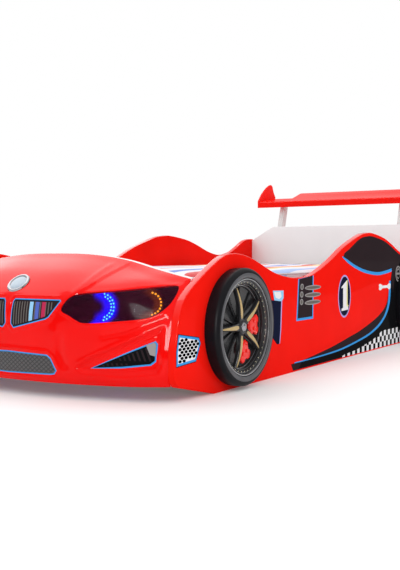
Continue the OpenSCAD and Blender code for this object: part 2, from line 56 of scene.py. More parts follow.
# The camera as worked out from the photo: metres, degrees, and millimetres for the lens.
CAMERA_PLACE = (1.6386, -2.8574, 0.3771)
CAMERA_DOWN, CAMERA_TURN = 2.127, 32.155
CAMERA_LENS, SENSOR_WIDTH = 52.58, 36
SIGHT = 100
# The sky that reflections see: brightness at two heights.
SKY = ((0.04, 0.2), (0.4, 1.0))
FLOOR_HALF = 40
FLOOR_LOOK = {"colour": (0.82, 0.82, 0.82), "roughness": 0.8, "glow": 0.1, "glow_colour": (1, 1, 1)}


# ---- camera, floor and light ---------------------------------------------------------------------
def make_camera():
    data = bpy.data.cameras.new("camera")
    data.lens = CAMERA_LENS
    data.sensor_width = SENSOR_WIDTH
    data.clip_end = SIGHT
    camera = bpy.data.objects.new("camera", data)
    camera.location = CAMERA_PLACE
    camera.rotation_euler = (math.radians(90 - CAMERA_DOWN), 0, math.radians(CAMERA_TURN))
    scene.collection.objects.link(camera)
    scene.camera = camera


def area_light(name, place, target, size, power, in_gloss=False, in_diffuse=True):
    data = bpy.data.lights.new(name, "AREA")
    data.shape = "RECTANGLE"
    data.size, data.size_y = size
    data.energy = power
    light = bpy.data.objects.new(name, data)
    light.visible_glossy = in_gloss
    light.visible_diffuse = in_diffuse
    light.location = place
    light.rotation_euler = (Vector(target) - Vector(place)).to_track_quat("-Z", "Y").to_euler()
    scene.collection.objects.link(light)


def make_world():
    """Plain white for the camera; reflections see a sky that is grey low down and white above."""
    world = bpy.data.worlds.new("studio")
    scene.world = world
    world.use_nodes = True
    tree = world.node_tree
    link = tree.links.new
    background = tree.nodes["Background"]
    place = tree.nodes.new("ShaderNodeTexCoord")
    split = tree.nodes.new("ShaderNodeSeparateXYZ")
    ramp = tree.nodes.new("ShaderNodeValToRGB")
    for element, (height, level) in zip(ramp.color_ramp.elements, SKY):
        element.position = height
        element.color = (level, level, level, 1)
    plain = tree.nodes.new("ShaderNodeBackground")
    plain.inputs["Color"].default_value = (1, 1, 1, 1)
    rays = tree.nodes.new("ShaderNodeLightPath")
    choose = tree.nodes.new("ShaderNodeMixShader")
    link(place.outputs["Generated"], split.inputs["Vector"])
    link(split.outputs["Z"], ramp.inputs["Fac"])
    link(ramp.outputs["Color"], background.inputs["Color"])
    link(rays.outputs["Is Camera Ray"], choose.inputs["Fac"])
    link(background.outputs["Background"], choose.inputs[1])
    link(plain.outputs["Background"], choose.inputs[2])
    link(choose.outputs["Shader"], tree.nodes["World Output"].inputs["Surface"])


def make_floor():
    corners = [(FLOOR_HALF * x, FLOOR_HALF * y, 0) for x, y in ((-1, -1), (1, -1), (1, 1), (-1, 1))]
    mesh = bpy.data.meshes.new("floor")
    mesh.from_pydata(corners, [], [(0, 1, 2, 3)])
    floor = bpy.data.objects.new("floor", mesh)
    scene.collection.objects.link(floor)
    mesh.materials.append(Nodes("studio_floor").set(**FLOOR_LOOK).material)


def make_studio():
    make_world()
    area_light("sky_panel", (-2.5, 0.7, 3.5), (-0.2, -0.3, 0.2), (4.4, 5.6), 112, in_gloss=True)
    area_light("front_high", (1.2, -4.2, 2.6), (0, -0.6, 0.2), (3.0, 1.6), 20)
    area_light("side_high", (4.6, -0.6, 2.4), (0.3, -0.2, 0.2), (2.6, 1.8), 24)
    area_light("corner_softbox", (1.8, -4.0, 0.95), (0.45, -1.14, 0.17), (1.1, 0.8), 75,
               in_gloss=True, in_diffuse=False)
    scene.view_settings.view_transform = "Standard"
    scene.view_settings.look = "None"
    make_floor()


# ---- materials -----------------------------------------------------------------------------------
class Nodes:
    """A small helper round one material's node tree."""

    SOCKETS = {"colour": "Base Color", "roughness": "Roughness", "metal": "Metallic",
               "coat": "Coat Weight", "coat_roughness": "Coat Roughness", "coat_ior": "Coat IOR",
               "sheen": "Sheen Weight", "sheen_roughness": "Sheen Roughness",
               "glow": "Emission Strength", "glow_colour": "Emission Color",
               "specular": "Specular IOR Level", "alpha": "Alpha"}

    def __init__(self, name):
        self.material = bpy.data.materials.new(name)
        self.material.use_nodes = True
        self.tree = self.material.node_tree
        self.shader = self.tree.nodes["Principled BSDF"]
        self.place = self.add("ShaderNodeTexCoord").outputs["Object"]

    def add(self, kind, **settings):
        node = self.tree.nodes.new(kind)
        for key, value in settings.items():
            setattr(node, key, value)
        return node

    def link(self, source, target):
        self.tree.links.new(source, target)
        return self

    def set(self, **sockets):
        for key, value in sockets.items():
            socket = self.shader.inputs[self.SOCKETS[key]]
            if isinstance(value, tuple):
                value = (*value, 1)[:4]
            socket.default_value = value
        return self

    def stretched(self, scale):
        mapping = self.add("ShaderNodeMapping")
        mapping.inputs["Scale"].default_value = scale
        self.link(self.place, mapping.inputs["Vector"])
        return mapping.outputs["Vector"]

    def noise(self, scale, detail=3.0, place=None, roughness=0.5):
        node = self.add("ShaderNodeTexNoise")
        node.inputs["Scale"].default_value = scale
        node.inputs["Detail"].default_value = detail
        node.inputs["Roughness"].default_value = roughness
        self.link(place or self.place, node.inputs["Vector"])
        return node.outputs["Fac"]

    def wave(self, scale, place=None, distortion=0.0, direction="X", profile="SIN"):
        node = self.add("ShaderNodeTexWave", bands_direction=direction, wave_profile=profile)
        node.inputs["Scale"].default_value = scale
        node.inputs["Distortion"].default_value = distortion
        self.link(place or self.place, node.inputs["Vector"])
        return node.outputs["Fac"]

    def ramp(self, source, stops, constant=False):
        node = self.add("ShaderNodeValToRGB")
        node.color_ramp.interpolation = "CONSTANT" if constant else "LINEAR"
        elements = node.color_ramp.elements
        while len(elements) < len(stops):
            elements.new(0.5)
        for element, (at, colour) in zip(elements, stops):
            element.position = at
            element.color = (*colour, 1)
        self.link(source, node.inputs["Fac"])
        return node.outputs["Color"]

    def math(self, operation, a, b=0.0):
        node = self.add("ShaderNodeMath", operation=operation)
        for socket, value in zip(node.inputs, (a, b)):
            if isinstance(value, (int, float)):
                socket.default_value = value
            else:
                self.link(value, socket)
        return node.outputs[0]

    def mix(self, factor, a, b, blend="MIX"):
        node = self.add("ShaderNodeMix", data_type="RGBA", blend_type=blend)
        for index, value in ((0, factor), (6, a), (7, b)):
            if isinstance(value, (int, float)):
                node.inputs[index].default_value = value
            elif isinstance(value, tuple):
                node.inputs[index].default_value = (*value, 1)
            else:
                self.link(value, node.inputs[index])
        return node.outputs[2]

    def roughness(self, source, low, high):
        node = self.add("ShaderNodeMapRange")
        node.inputs["To Min"].default_value = low
        node.inputs["To Max"].default_value = high
        self.link(source, node.inputs["Value"])
        return self.link(node.outputs["Result"], self.shader.inputs["Roughness"])

    def bump(self, source, depth_mm, strength=1.0):
        node = self.add("ShaderNodeBump")
        node.inputs["Distance"].default_value = depth_mm * MM
        node.inputs["Strength"].default_value = strength
        self.link(source, node.inputs["Height"])
        return self.link(node.outputs["Normal"], self.shader.inputs["Normal"])

    def colour(self, source):
        return self.link(source, self.shader.inputs["Base Color"])

    def drift(self, source, colour, spread):
        """Base colour that wanders with the source, this far to either side."""
        stops = [(0.3, tone(colour, 1 - spread)), (0.7, tone(colour, 1 + spread))]
        return self.colour(self.ramp(source, stops))


def tone(colour, factor):
    return tuple(min(c * factor, 1.0) for c in colour)


def gloss_paint(name, colour, peel_mm=0.03, coat=0.2, spread=0.05, low=0.07, high=0.17, specular=0.15,
                coat_ior=1.5, glossy_edges=False):
    """High-gloss foil or moulded plastic: slow colour drift, faint smears, orange peel.

    With glossy_edges, upright faces have this coat and faces that look upwards a full one.
    """
    n = Nodes(name).set(coat=coat, coat_roughness=0.03, specular=specular, coat_ior=coat_ior)
    if glossy_edges:
        facing = n.add("ShaderNodeSeparateXYZ")
        n.link(n.add("ShaderNodeNewGeometry").outputs["Normal"], facing.inputs["Vector"])
        level = n.add("ShaderNodeMapRange")
        level.inputs["From Min"].default_value = 0.15
        level.inputs["From Max"].default_value = 0.6
        level.inputs["To Min"].default_value = coat
        n.link(facing.outputs["Z"], level.inputs["Value"])
        n.link(level.outputs["Result"], n.shader.inputs["Coat Weight"])
    n.drift(n.noise(5, 2), colour, spread)
    n.roughness(n.noise(60, 4), low, high)
    n.bump(n.noise(260, 2), peel_mm)
    return n.material


def moulded(name, colour, grain_mm=0.05, low=0.35, high=0.5, spread=0.12, specular=0.3):
    """Fine-grained matt plastic."""
    n = Nodes(name).set(specular=specular)
    n.drift(n.noise(30, 4), colour, spread)
    n.roughness(n.noise(120, 3), low, high)
    n.bump(n.noise(900, 2), grain_mm)
    return n.material


def metal(name, colour, low, high):
    """Polished or plated metal with fine mottling."""
    n = Nodes(name).set(metal=1.0)
    streaks = n.noise(400, 3)
    n.colour(n.ramp(streaks, [(0.2, tone(colour, 0.85)), (0.8, tone(colour, 1.05))]))
    n.roughness(streaks, low, high)
    n.bump(streaks, 0.01)
    return n.material


def pine_wood(name):
    """Sawn pine: growth rings drawn out along the piece, fine pores, a few darker streaks."""
    n = Nodes(name)
    along = n.stretched((9, 0.8, 9))
    rings = n.wave(3.5, along, distortion=6)
    pores = n.noise(130, 5, n.stretched((1, 0.06, 1)))
    late, middle, early = (0.50, 0.30, 0.13), (0.66, 0.45, 0.24), (0.74, 0.55, 0.33)
    base = n.ramp(rings, [(0.0, late), (0.45, middle), (1.0, early)])
    dark_pore, pale_pore = (0.35, 0.20, 0.09), (0.80, 0.62, 0.40)
    n.colour(n.mix(0.35, base, n.ramp(pores, [(0.35, dark_pore), (0.65, pale_pore)])))
    n.roughness(pores, 0.5, 0.75)
    n.bump(pores, 0.15)
    return n.material


def woven(name, colour, pitch_per_m, depth_mm=0.15):
    """Plain weave: the two thread directions multiplied."""
    n = Nodes(name).set(sheen=0.3, sheen_roughness=0.5)
    warp = n.wave(pitch_per_m, direction="X")
    weft = n.wave(pitch_per_m, direction="Y")
    weave = n.math("MULTIPLY", warp, weft)
    n.colour(n.ramp(weave, [(0.0, tone(colour, 0.6)), (1.0, tone(colour, 1.15))]))
    n.roughness(n.noise(80, 3), 0.75, 0.92)
    n.bump(weave, depth_mm)
    return n.material


def lamp_glow(name, colour, strength):
    """A lit lamp."""
    n = Nodes(name).set(colour=colour, roughness=0.3, glow_colour=colour, glow=strength)
    n.colour(n.ramp(n.noise(300, 2), [(0.2, tone(colour, 0.8)), (0.8, colour)]))
    return n.material


RED = (0.90, 0.010, 0.005)
MATERIALS = {
    "board_red": gloss_paint("board_red", RED, peel_mm=0.02, coat=0.05, specular=0.0, glossy_edges=True),
    "board_white": gloss_paint("board_white", (0.88, 0.88, 0.88), peel_mm=0.02, coat=0.15, low=0.25,
                               high=0.4, spread=0.02),
    "shell_red": gloss_paint("shell_red", (0.88, 0.002, 0.001), peel_mm=0.03, coat=0.85, specular=0.0,
                             coat_ior=1.26),
    "wing_red": gloss_paint("wing_red", RED, peel_mm=0.03, coat=0.4, specular=0.0),
    "tyre": moulded("tyre", (0.006, 0.006, 0.008), low=0.34, high=0.46, specular=0.1),
    # Lighter grey for the tyre's raised face ring: painted sheen of the tyre's shoulder.
    "tyre_bead": moulded("tyre_bead", (0.085, 0.086, 0.094), low=0.3, high=0.4, specular=0.3),
    "rim": gloss_paint("rim", (0.020, 0.020, 0.022), coat=0.25, low=0.18, high=0.3),
    # Lighter grey on the rim's lip: painted highlight.
    "rim_lip": gloss_paint("rim_lip", (0.15, 0.153, 0.16), coat=0.3, low=0.2, high=0.3),
    "gold": gloss_paint("gold", (0.52, 0.38, 0.17), coat=0.1, low=0.28, high=0.4),
    "stud": moulded("stud", (0.72, 0.66, 0.46), low=0.3, high=0.4, spread=0.05),
    "caliper": gloss_paint("caliper", (0.95, 0.022, 0.014), coat=0.15),
    "chrome": metal("chrome", (0.36, 0.36, 0.38), 0.05, 0.14),
    "badge_blue": gloss_paint("badge_blue", (0.42, 0.50, 0.58), coat=0.5, low=0.1, high=0.2),
    "zinc": metal("zinc", (0.66, 0.67, 0.69), 0.25, 0.45),
    "bezel": metal("bezel", (0.75, 0.76, 0.78), 0.15, 0.3),
    "post_grey": moulded("post_grey", (0.68, 0.68, 0.67), low=0.3, high=0.45, spread=0.03),
    "black_plastic": moulded("black_plastic", (0.018, 0.018, 0.02)),
    "white_plastic": moulded("white_plastic", (0.75, 0.75, 0.74), spread=0.03),
    "circuit": moulded("circuit", (0.02, 0.18, 0.06), spread=0.3),
    "cable": moulded("cable", (0.012, 0.012, 0.014), grain_mm=0.08),
    "button": gloss_paint("button", (0.05, 0.13, 0.55), low=0.12, high=0.25),
    "pine": pine_wood("pine"),
    "webbing": woven("webbing", (0.06, 0.06, 0.07), 260),
    "piping": woven("piping", (0.75, 0.76, 0.80), 500, 0.1),
    "blue_led": lamp_glow("blue_led", (0.06, 0.36, 1.0), 7),
    "blue_board": lamp_glow("blue_board", (0.0, 0.03, 1.0), 4),
    "amber_led": lamp_glow("amber_led", (1.0, 0.34, 0.01), 3),
    "amber_board": lamp_glow("amber_board", (0.20, 0.05, 0.01), 0.5),
}

# Printed films are satin and nearly uncoated, so that they look flat beside the gloss boards.
FILM_FINISH = {"low": 0.2, "high": 0.3, "coat": 0.03, "specular": 0.0}
FILM_EXTRAS = {"film_dark": {"low": 0.22, "high": 0.34}, "film_white": {"spread": 0.02}}
FILM_COLOURS = {
    "film_blue": (0.045, 0.32, 0.76),
    "film_pale_blue": (0.30, 0.60, 0.86),
    "film_navy": (0.007, 0.010, 0.032),
    "film_violet": (0.09, 0.14, 0.52),
    "film_lilac": (0.42, 0.36, 0.74),
    "film_crimson": (0.50, 0.03, 0.09),
    "film_cream": (0.80, 0.76, 0.34),
    "film_white": (0.82, 0.82, 0.84),
    "film_grey": (0.33, 0.31, 0.31),
    "film_bar": (0.14, 0.13, 0.12),
    "film_dark": (0.027, 0.018, 0.021),
    "film_black": (0.006, 0.006, 0.007),
}
for film_name, film_colour in FILM_COLOURS.items():
    finish = {**FILM_FINISH, **FILM_EXTRAS.get(film_name, {})}
    MATERIALS[film_name] = gloss_paint(film_name, film_colour, **finish)

make_camera()
make_studio()


# ---- geometry helpers ----------------------------------------------------------------------------
SHARP_ANGLE = 38


def blend4(a, b, c, d, t):
    """Catmull-Rom curve between b and c."""
    return 0.5 * (2 * b + (c - a) * t + (2 * a - 5 * b + 4 * c - d) * t**2 + (3 * b - a - 3 * c + d) * t**3)


def spline(points, steps, closed=False):
    """A smooth curve through the points, with this many steps from each to the next."""
    p = [np.array(q, float) for q in points]
    n = len(p)
    at = (lambda i: p[i % n]) if closed else (lambda i: p[min(max(i, 0), n - 1)])
    spans = n if closed else n - 1
    curve = [tuple(blend4(at(i - 1), at(i), at(i + 1), at(i + 2), k / steps))
             for i in range(spans) for k in range(steps)]
    return curve if closed else curve + [tuple(p[-1])]


def mirrored(points):
    """A half outline, from the centre line round to the centre line, made whole."""
    return list(points) + [(-x, y) for x, y in reversed(points[1:-1])]


def ellipse(centre, half, count=40):
    angles = (2 * math.pi * k / count for k in range(count))
    return [(centre[0] + half[0] * math.cos(a), centre[1] + half[1] * math.sin(a)) for a in angles]


def make(name, points, faces, material, sharp=SHARP_ANGLE):
    """A mesh object from points in millimetres."""
    mesh = bpy.data.meshes.new(name)
    mesh.from_pydata([tuple(float(c) * MM for c in p) for p in points], [], [tuple(f) for f in faces])
    mesh.validate()
    mesh.materials.append(MATERIALS[material])
    for polygon in mesh.polygons:
        polygon.use_smooth = True
    mesh.set_sharp_from_angle(angle=math.radians(sharp))
    obj = bpy.data.objects.new(name, mesh)
    scene.collection.objects.link(obj)
    return obj


def outward(obj):
    """Turns every face outwards."""
    work = bmesh.new()
    work.from_mesh(obj.data)
    bmesh.ops.recalc_face_normals(work, faces=work.faces)
    work.to_mesh(obj.data)
    work.free()
    return obj


def piece(obj, slot, replaces=(), body="bed"):
    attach(obj, body)
    if replaces:
        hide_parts(*replaces)
    return obj


def signed_area(loop):
    """Area of an outline, positive when it runs anticlockwise."""
    p = np.array(loop)
    q = np.roll(p, -1, axis=0)
    return 0.5 * float(np.sum(p[:, 0] * q[:, 1] - q[:, 0] * p[:, 1]))


def inset(loop, distance):
    """The outline moved inwards by distance, corners mitred."""
    p = np.array(loop, float)
    turn = 1 if signed_area(loop) > 0 else -1
    before, after = p - np.roll(p, 1, axis=0), np.roll(p, -1, axis=0) - p
    unit = lambda v: v / np.maximum(np.linalg.norm(v, axis=1, keepdims=True), 1e-9)
    left = lambda v: np.stack([-v[:, 1], v[:, 0]], 1) * turn
    a, b = left(unit(before)), left(unit(after))
    mid = unit(a + b)
    stretch = np.clip(np.sum(mid * a, 1, keepdims=True), 0.45, 1)
    return [tuple(q) for q in p + mid * distance / stretch]


def inside(points, loop):
    """Which of the points lie in the closed outline."""
    p, loop = np.atleast_2d(np.array(points, float)), np.array(loop, float)
    result = np.zeros(len(p), bool)
    for (x0, y0), (x1, y1) in zip(loop, np.roll(loop, -1, axis=0)):
        crosses = (y0 > p[:, 1]) != (y1 > p[:, 1])
        if y0 != y1:
            result ^= crosses & (p[:, 0] < (x1 - x0) * (p[:, 1] - y0) / (y1 - y0) + x0)
    return result


def fill(outline, holes=(), grid=None):
    """Triangles inside an outline and outside its holes. grid adds points inside, this far apart."""
    loops = [outline, *holes]
    points, edges = [], []
    for loop in loops:
        start = len(points)
        points += [Vector((float(x), float(y))) for x, y in loop]
        edges += [(start + i, start + (i + 1) % len(loop)) for i in range(len(loop))]
    if grid is not None:
        low, high = np.min(outline, axis=0), np.max(outline, axis=0)
        xs, ys = (np.arange(low[k] + grid[k] / 2, high[k], grid[k]) for k in (0, 1))
        spots = np.array([(x, y) for x in xs for y in ys]).reshape(-1, 2)
        margin = 0.4 * min(grid)
        keep = inside(spots, inset(outline, margin))
        for hole in holes:
            keep &= ~inside(spots, inset(hole, -margin))
        points += [Vector(s) for s in spots[keep]]
    made = delaunay_2d_cdt(points, edges, [], 1, 1e-5)
    flat = np.array([tuple(v) for v in made[0]])
    centres = np.array([flat[list(f)].mean(0) for f in made[2]])
    keep = inside(centres, outline)
    for hole in holes:
        keep &= ~inside(centres, hole)
    return flat, [tuple(f) for f, k in zip(made[2], keep) if k]


def dense(loop, longest):
    """The outline with points added so that no side is longer than this."""
    result = []
    for a, b in zip(np.array(loop, float), np.roll(np.array(loop, float), -1, axis=0)):
        parts = max(int(np.ceil(np.linalg.norm(b - a) / longest)), 1)
        result += [tuple(a + (b - a) * k / parts) for k in range(parts)]
    return result


def boundary(faces):
    """Directed edges that belong to one face only."""
    seen = {}
    for f in faces:
        for a, b in zip(f, f[1:] + f[:1]):
            seen[(a, b)] = True
    return [(a, b) for a, b in seen if (b, a) not in seen]


def thicken(front, back, faces):
    """A closed sheet between two copies of the same points."""
    n = len(front)
    backs = [tuple(i + n for i in reversed(f)) for f in faces]
    walls = [(b, a, a + n, b + n) for a, b in boundary(faces)]
    return list(front) + list(back), list(faces) + backs + walls


def tube_faces(rings, around):
    """Faces of a closed solid through rings of points, with its two end caps."""
    faces = []
    for here in range(0, (rings - 1) * around, around):
        after = here + around
        faces += [(here + i, here + (i + 1) % around, after + (i + 1) % around, after + i)
                  for i in range(around)]
    last = rings * around - 1
    return faces + [tuple(range(around)), tuple(range(last, last - around, -1))]


def lathe(profile, segments, place):
    """Points and faces of a closed (radius, height) profile turned full circle.

    place(radius, height, angle) gives each point.
    """
    points, faces = [], []
    n = len(profile)
    for k in range(segments):
        angle = 2 * math.pi * k / segments
        points += [place(radius, height, angle) for radius, height in profile]
        here, after = k * n, (k + 1) % segments * n
        faces += [(here + i, after + i, after + (i + 1) % n, here + (i + 1) % n) for i in range(n)]
    return points, faces


AXES = {"x": lambda a, b, c: (c, a, b), "y": lambda a, b, c: (a, c, b), "z": lambda a, b, c: (a, b, c)}


def slab(name, outline, low, high, axis, material, edge=2.0, steps=3, holes=()):
    """A board with rounded edges: a 2-D outline extruded along an axis."""
    loops = [outline, *holes]
    ways = [1] + [-1] * len(holes)
    angles = [math.pi / 2 * k / steps for k in range(steps + 1)]
    arc = [(edge * (1 - math.sin(a)), edge * (1 - math.cos(a))) for a in angles]
    rings = [(d, low + h) for d, h in arc] + [(d, high - h) for d, h in reversed(arc)]
    points, faces = [], []
    for way, loop in zip(ways, loops):
        n, start = len(loop), len(points)
        for d, depth in rings:
            points += [AXES[axis](a, b, depth) for a, b in inset(loop, way * d)]
        for row in range(start, start + (len(rings) - 1) * n, n):
            faces += [(row + i, row + (i + 1) % n, row + n + (i + 1) % n, row + n + i) for i in range(n)]
    rims = [inset(loop, way * edge) for way, loop in zip(ways, loops)]
    flat, triangles = fill(rims[0], rims[1:])
    for depth, order in ((low, -1), (high, 1)):
        start = len(points)
        points += [AXES[axis](a, b, depth) for a, b in flat]
        faces += [tuple(start + i for i in t[::order]) for t in triangles]
    return weld(make(name, points, faces, material))


def weld(obj, distance_mm=0.01):
    """Merges points that coincide and turns every face outwards."""
    work = bmesh.new()
    work.from_mesh(obj.data)
    bmesh.ops.remove_doubles(work, verts=work.verts, dist=distance_mm * MM)
    bmesh.ops.recalc_face_normals(work, faces=work.faces)
    work.to_mesh(obj.data)
    work.free()
    obj.data.set_sharp_from_angle(angle=math.radians(SHARP_ANGLE))
    return obj


def joined(name, objects):
    """One piece from several objects of one material."""
    bpy.ops.object.select_all(action="DESELECT")
    for o in objects:
        o.select_set(True)
    bpy.context.view_layer.objects.active = objects[0]
    bpy.ops.object.join()
    objects[0].name = name
    return objects[0]


def revolve(name, profile, centre, side, material, segments):
    """Turns a (radius, distance out of the side board) profile round a wheel's axis."""
    def place(radius, out, angle):
        return (side * (centre[0] + out), centre[1] + radius * math.cos(angle),
                centre[2] + radius * math.sin(angle))

    return weld(make(name, *lathe(profile, segments, place), material))


def both(builder):
    """Runs builder(side, word) for the left (+X) and the right side."""
    for side, word in SIDES:
        builder(side, word)


# ---- boards --------------------------------------------------------------------------------------
OUTER_X, INNER_X = 482.5, 460.5
HEAD_Y, HEAD_REAR, FOOT_Y, FOOT_REAR = 994.5, 1012.5, -1027.0, -1009.0
SIDE_TOP = [
    (-1137, 73), (-1135, 132), (-1126, 175), (-1111, 233), (-1083, 271), (-1015, 315), (-906, 368),
    (-831, 379), (-737, 366), (-598, 323), (-500, 306), (-418, 302), (-313, 310), (-174, 352), (-37, 406),
    (112, 448), (175, 457), (236, 459), (362, 444), (452, 422), (567, 387), (668, 373), (763, 385),
    (829, 409), (908, 444), (955, 454), (1002, 455), (1028, 444), (1038, 420)]
SIDE_TOE = [(1038, 0), (-943, 0), (-1120, 40), (-1133, 54)]
side_curve = spline(SIDE_TOP, 8)


def board_top(y, below=0.0):
    """Height of the side board's top edge at y, less a margin."""
    rising = [p for p in side_curve if p[0] > -1134]
    return float(np.interp(y, [p[0] for p in rising], [p[1] for p in rising])) - below


def side_board(side, word):
    low, high = sorted((side * INNER_X, side * OUTER_X))
    obj = slab(f"side_board_{word}", side_curve + SIDE_TOE, low, high, "x", "board_red", edge=2.6, steps=4)
    piece(obj, "side_board_red", [f"side_panel_{word}"])


# How far the footboard's top stands above the nose's rear edge, at each nose section.
FOOT_PROUD = (0, 0, 0.6, 1.6, 2.2)
CABLE_HOLE, CABLE_HOLE_Z = (7, 7), 125


def end_boards():
    half = INNER_X - 0.2
    head = [(-half, 40), (half, 40), (half, 449), (340, 518), (-340, 518), (-half, 449)]
    hole = ellipse((-345, CABLE_HOLE_Z), CABLE_HOLE, 24)
    piece(slab("head_board", head, HEAD_Y, HEAD_REAR, "y", "board_white", edge=1.6, holes=[hole]),
          "white_board", ["headboard"])
    top = [(x, z + up) for x, z, up in zip(NOSE_X, NOSE_SECTIONS[:, 0, 1], FOOT_PROUD)]
    curve = spline([(-x, z) for x, z in reversed(top[1:])] + top, 8)
    foot = [(INNER_X - 1, 40), (1 - INNER_X, 40)] + curve
    hole = ellipse((-425, CABLE_HOLE_Z), CABLE_HOLE, 24)
    piece(slab("foot_board", foot, FOOT_Y, FOOT_REAR, "y", "board_white", edge=1.6, holes=[hole]),
          "white_board", ["footboard"])


# ---- printed films -------------------------------------------------------------------------------
DARK, BLUE, WHITE = "printed_film_dark", "printed_film_blue", "printed_film_white"
FILM_PROUD, LAYER_PROUD, FILM_ROOT = 0.22, 0.16, 0.1


def film(name, outline, layer, side, material, slot, holes=()):
    """Thin printed film on a side board: a (y, z) outline, a little higher for each layer."""
    flat, faces = fill(outline, holes)
    face = side * (OUTER_X + FILM_PROUD + LAYER_PROUD * layer)
    back = side * (OUTER_X - FILM_ROOT)
    points, faces = thicken([(face, y, z) for y, z in flat], [(back, y, z) for y, z in flat], faces)
    return piece(outward(make(name, points, faces, material, sharp=30)), slot)


def band(curve, widths):
    """Closed outline of a stripe along a curve; widths gives its width at each point of the curve."""
    p = np.array(curve, float)
    t = np.gradient(p, axis=0)
    t /= np.linalg.norm(t, axis=1, keepdims=True)
    n = np.stack([-t[:, 1], t[:, 0]], 1) * (np.array(widths) / 2)[:, None]
    return [tuple(q) for q in np.vstack([p + n, (p - n)[::-1]])]


SWEEP = [(-475, 27), (-387, 31), (-266, 41), (-135, 54), (6, 73), (130, 91), (306, 130), (401, 172),
         (429, 224), (440, 262)]
SWEEP_LINE = [(-450, 29), (-327, 29), (-201, 31), (-66, 36), (81, 50), (184, 63), (252, 76), (320, 95),
              (373, 119), (410, 147), (431, 178), (440, 215), (444, 268)]
SWEEP_WIDTH = [3, 4, 5, 6, 7, 8, 9, 11, 13, 17, 20, 22, 20]
SWEEP_REAR = [(912, 262), (935, 200), (940, 110), (940, 5), (-461, 5)]
SKIRT_REAR = [(466, 268), (486, 204), (510, 93), (930, 93), (930, 7), (-420, 7)]
WINDOW_SILL = [(-62, 368), (41, 336), (158, 312), (293, 300), (398, 305), (462, 312)]
ARCH_RADIUS, ARCH_FOOT = 205, 92
CHECK_TOP = [(-60, 10), (-30, 14), (52, 18), (121, 24), (168, 31), (225, 38), (275, 48), (318, 60),
             (360, 70), (930, 70)]
CHECK_START, CHECK_SIZE, CHECK_ROWS, CHECK_COLUMNS = (-56, 5), (24, 21.6), 4, 41
LEAST_CHECK = 2.5


def window_head(y0, y1, step_mm, below):
    """The dark panel's top edge: a margin below the board's top, wider towards the front."""
    ys = np.arange(y0, y1 + 1, step_mm)
    margins = below + 11 * np.clip((95 - ys) / 90, 0, 1)
    return [(float(y), board_top(y, m)) for y, m in zip(ys, margins)]


def sweep_prints(add):
    """The dark panel with its two blue lines, the black skirt and the black wheel arch."""
    sill = spline(WINDOW_SILL, 5)
    panel = spline(SWEEP, 6) + [(453, 271), (467, 312)] + sill[::-1][1:-1] + [(-52, 367)]
    add("print_sweep", panel + window_head(-40, 905, 22, 13) + SWEEP_REAR, 0, "film_dark", DARK)
    line = spline(SWEEP_LINE, 6)
    skirt = [(y + 1.5, z) for y, z in line[3:]] + SKIRT_REAR
    add("print_sill", skirt, 1, "film_black", DARK)
    widths = np.interp(np.linspace(0, 1, len(line)), np.linspace(0, 1, len(SWEEP_WIDTH)), SWEEP_WIDTH)
    add("print_stripe", band(line, widths), 2, "film_blue", BLUE)
    widths = np.interp(range(len(sill)), [0, 3, len(sill) - 1], [3, 11, 13])
    add("print_window_line", band(sill, widths), 2, "film_blue", BLUE)
    round_wheel = ellipse((REAR_WHEEL_Y, AXLE_Z), (ARCH_RADIUS, ARCH_RADIUS), 96)
    arch = [(y, min(z, board_top(y, 6))) for y, z in round_wheel if z > ARCH_FOOT]
    first = min(range(len(arch)), key=lambda i: (arch[i][1] > 130, -arch[i][0]))
    add("print_arch", arch[first:] + arch[:first], 2, "film_black", DARK)


def check_prints(add, word):
    """Rows of white squares over the skirt, trimmed to a limit that rises towards the rear."""
    limit_y, limit_z = zip(*CHECK_TOP)
    wide, high = CHECK_SIZE
    cells = []
    for row in range(CHECK_ROWS):
        for column in range(row % 2, CHECK_COLUMNS, 2):
            y, z = CHECK_START[0] + wide * column, CHECK_START[1] + high * row
            top = [(at, min(z + high, float(np.interp(at, limit_y, limit_z)))) for at in (y + wide, y)]
            if min(corner[1] for corner in top) - z > LEAST_CHECK:
                cells.append([(y, z), (y + wide, z), *top])
    parts = [add(f"print_checks_{i}", c, 3, "film_white", WHITE) for i, c in enumerate(cells)]
    joined(f"print_checks_{word}", parts)


def door_prints(add, word):
    """The strip between door and front wheel, with its small vents."""
    door = [(-425, board_top(-425, 5)), (-438, 162), (-309, 162), (-307, board_top(-307, 5))]
    inner = inset(door, 8)
    for corner in (0, 3):
        inner[corner] = (inner[corner][0], door[corner][1] - 0.5)
    add("print_door", door, 0, "film_blue", BLUE)
    add("print_door_panel", inner, 1, "film_dark", DARK)
    vents = [((y, z), (12, 10), (8.5, 7), 28) for y, z in ((-397, 271), (-399, 246), (-400, 222))]
    vents += [((y, z), (63, 8), (58, 4.6), 48) for y, z in ((-312, 266), (-312, 242), (-313, 217))]
    rings, cores = [], []
    for i, (centre, outer, hole, count) in enumerate(vents):
        core = ellipse(centre, hole, count)
        rings.append(add(f"vent_{i}", ellipse(centre, outer, count), 3, "film_grey", DARK, [core]))
        cores.append(add(f"vent_core_{i}", core, 2, "film_bar", DARK))
    joined(f"print_vent_rings_{word}", rings)
    joined(f"print_vent_cores_{word}", cores)


NUMBER_CENTRE = (-38, 225)
NUMBER_ONE = [(-21, 281), (-68, 259), (-66, 254), (-52, 257), (-52, 184), (-66, 181), (-66, 173), (-4, 175),
              (-4, 186), (-20, 188)]
NUMBER_SHADE = [(-11, 284), (-21, 281), (-20, 188), (-4, 186), (0, 190), (-10, 194)]


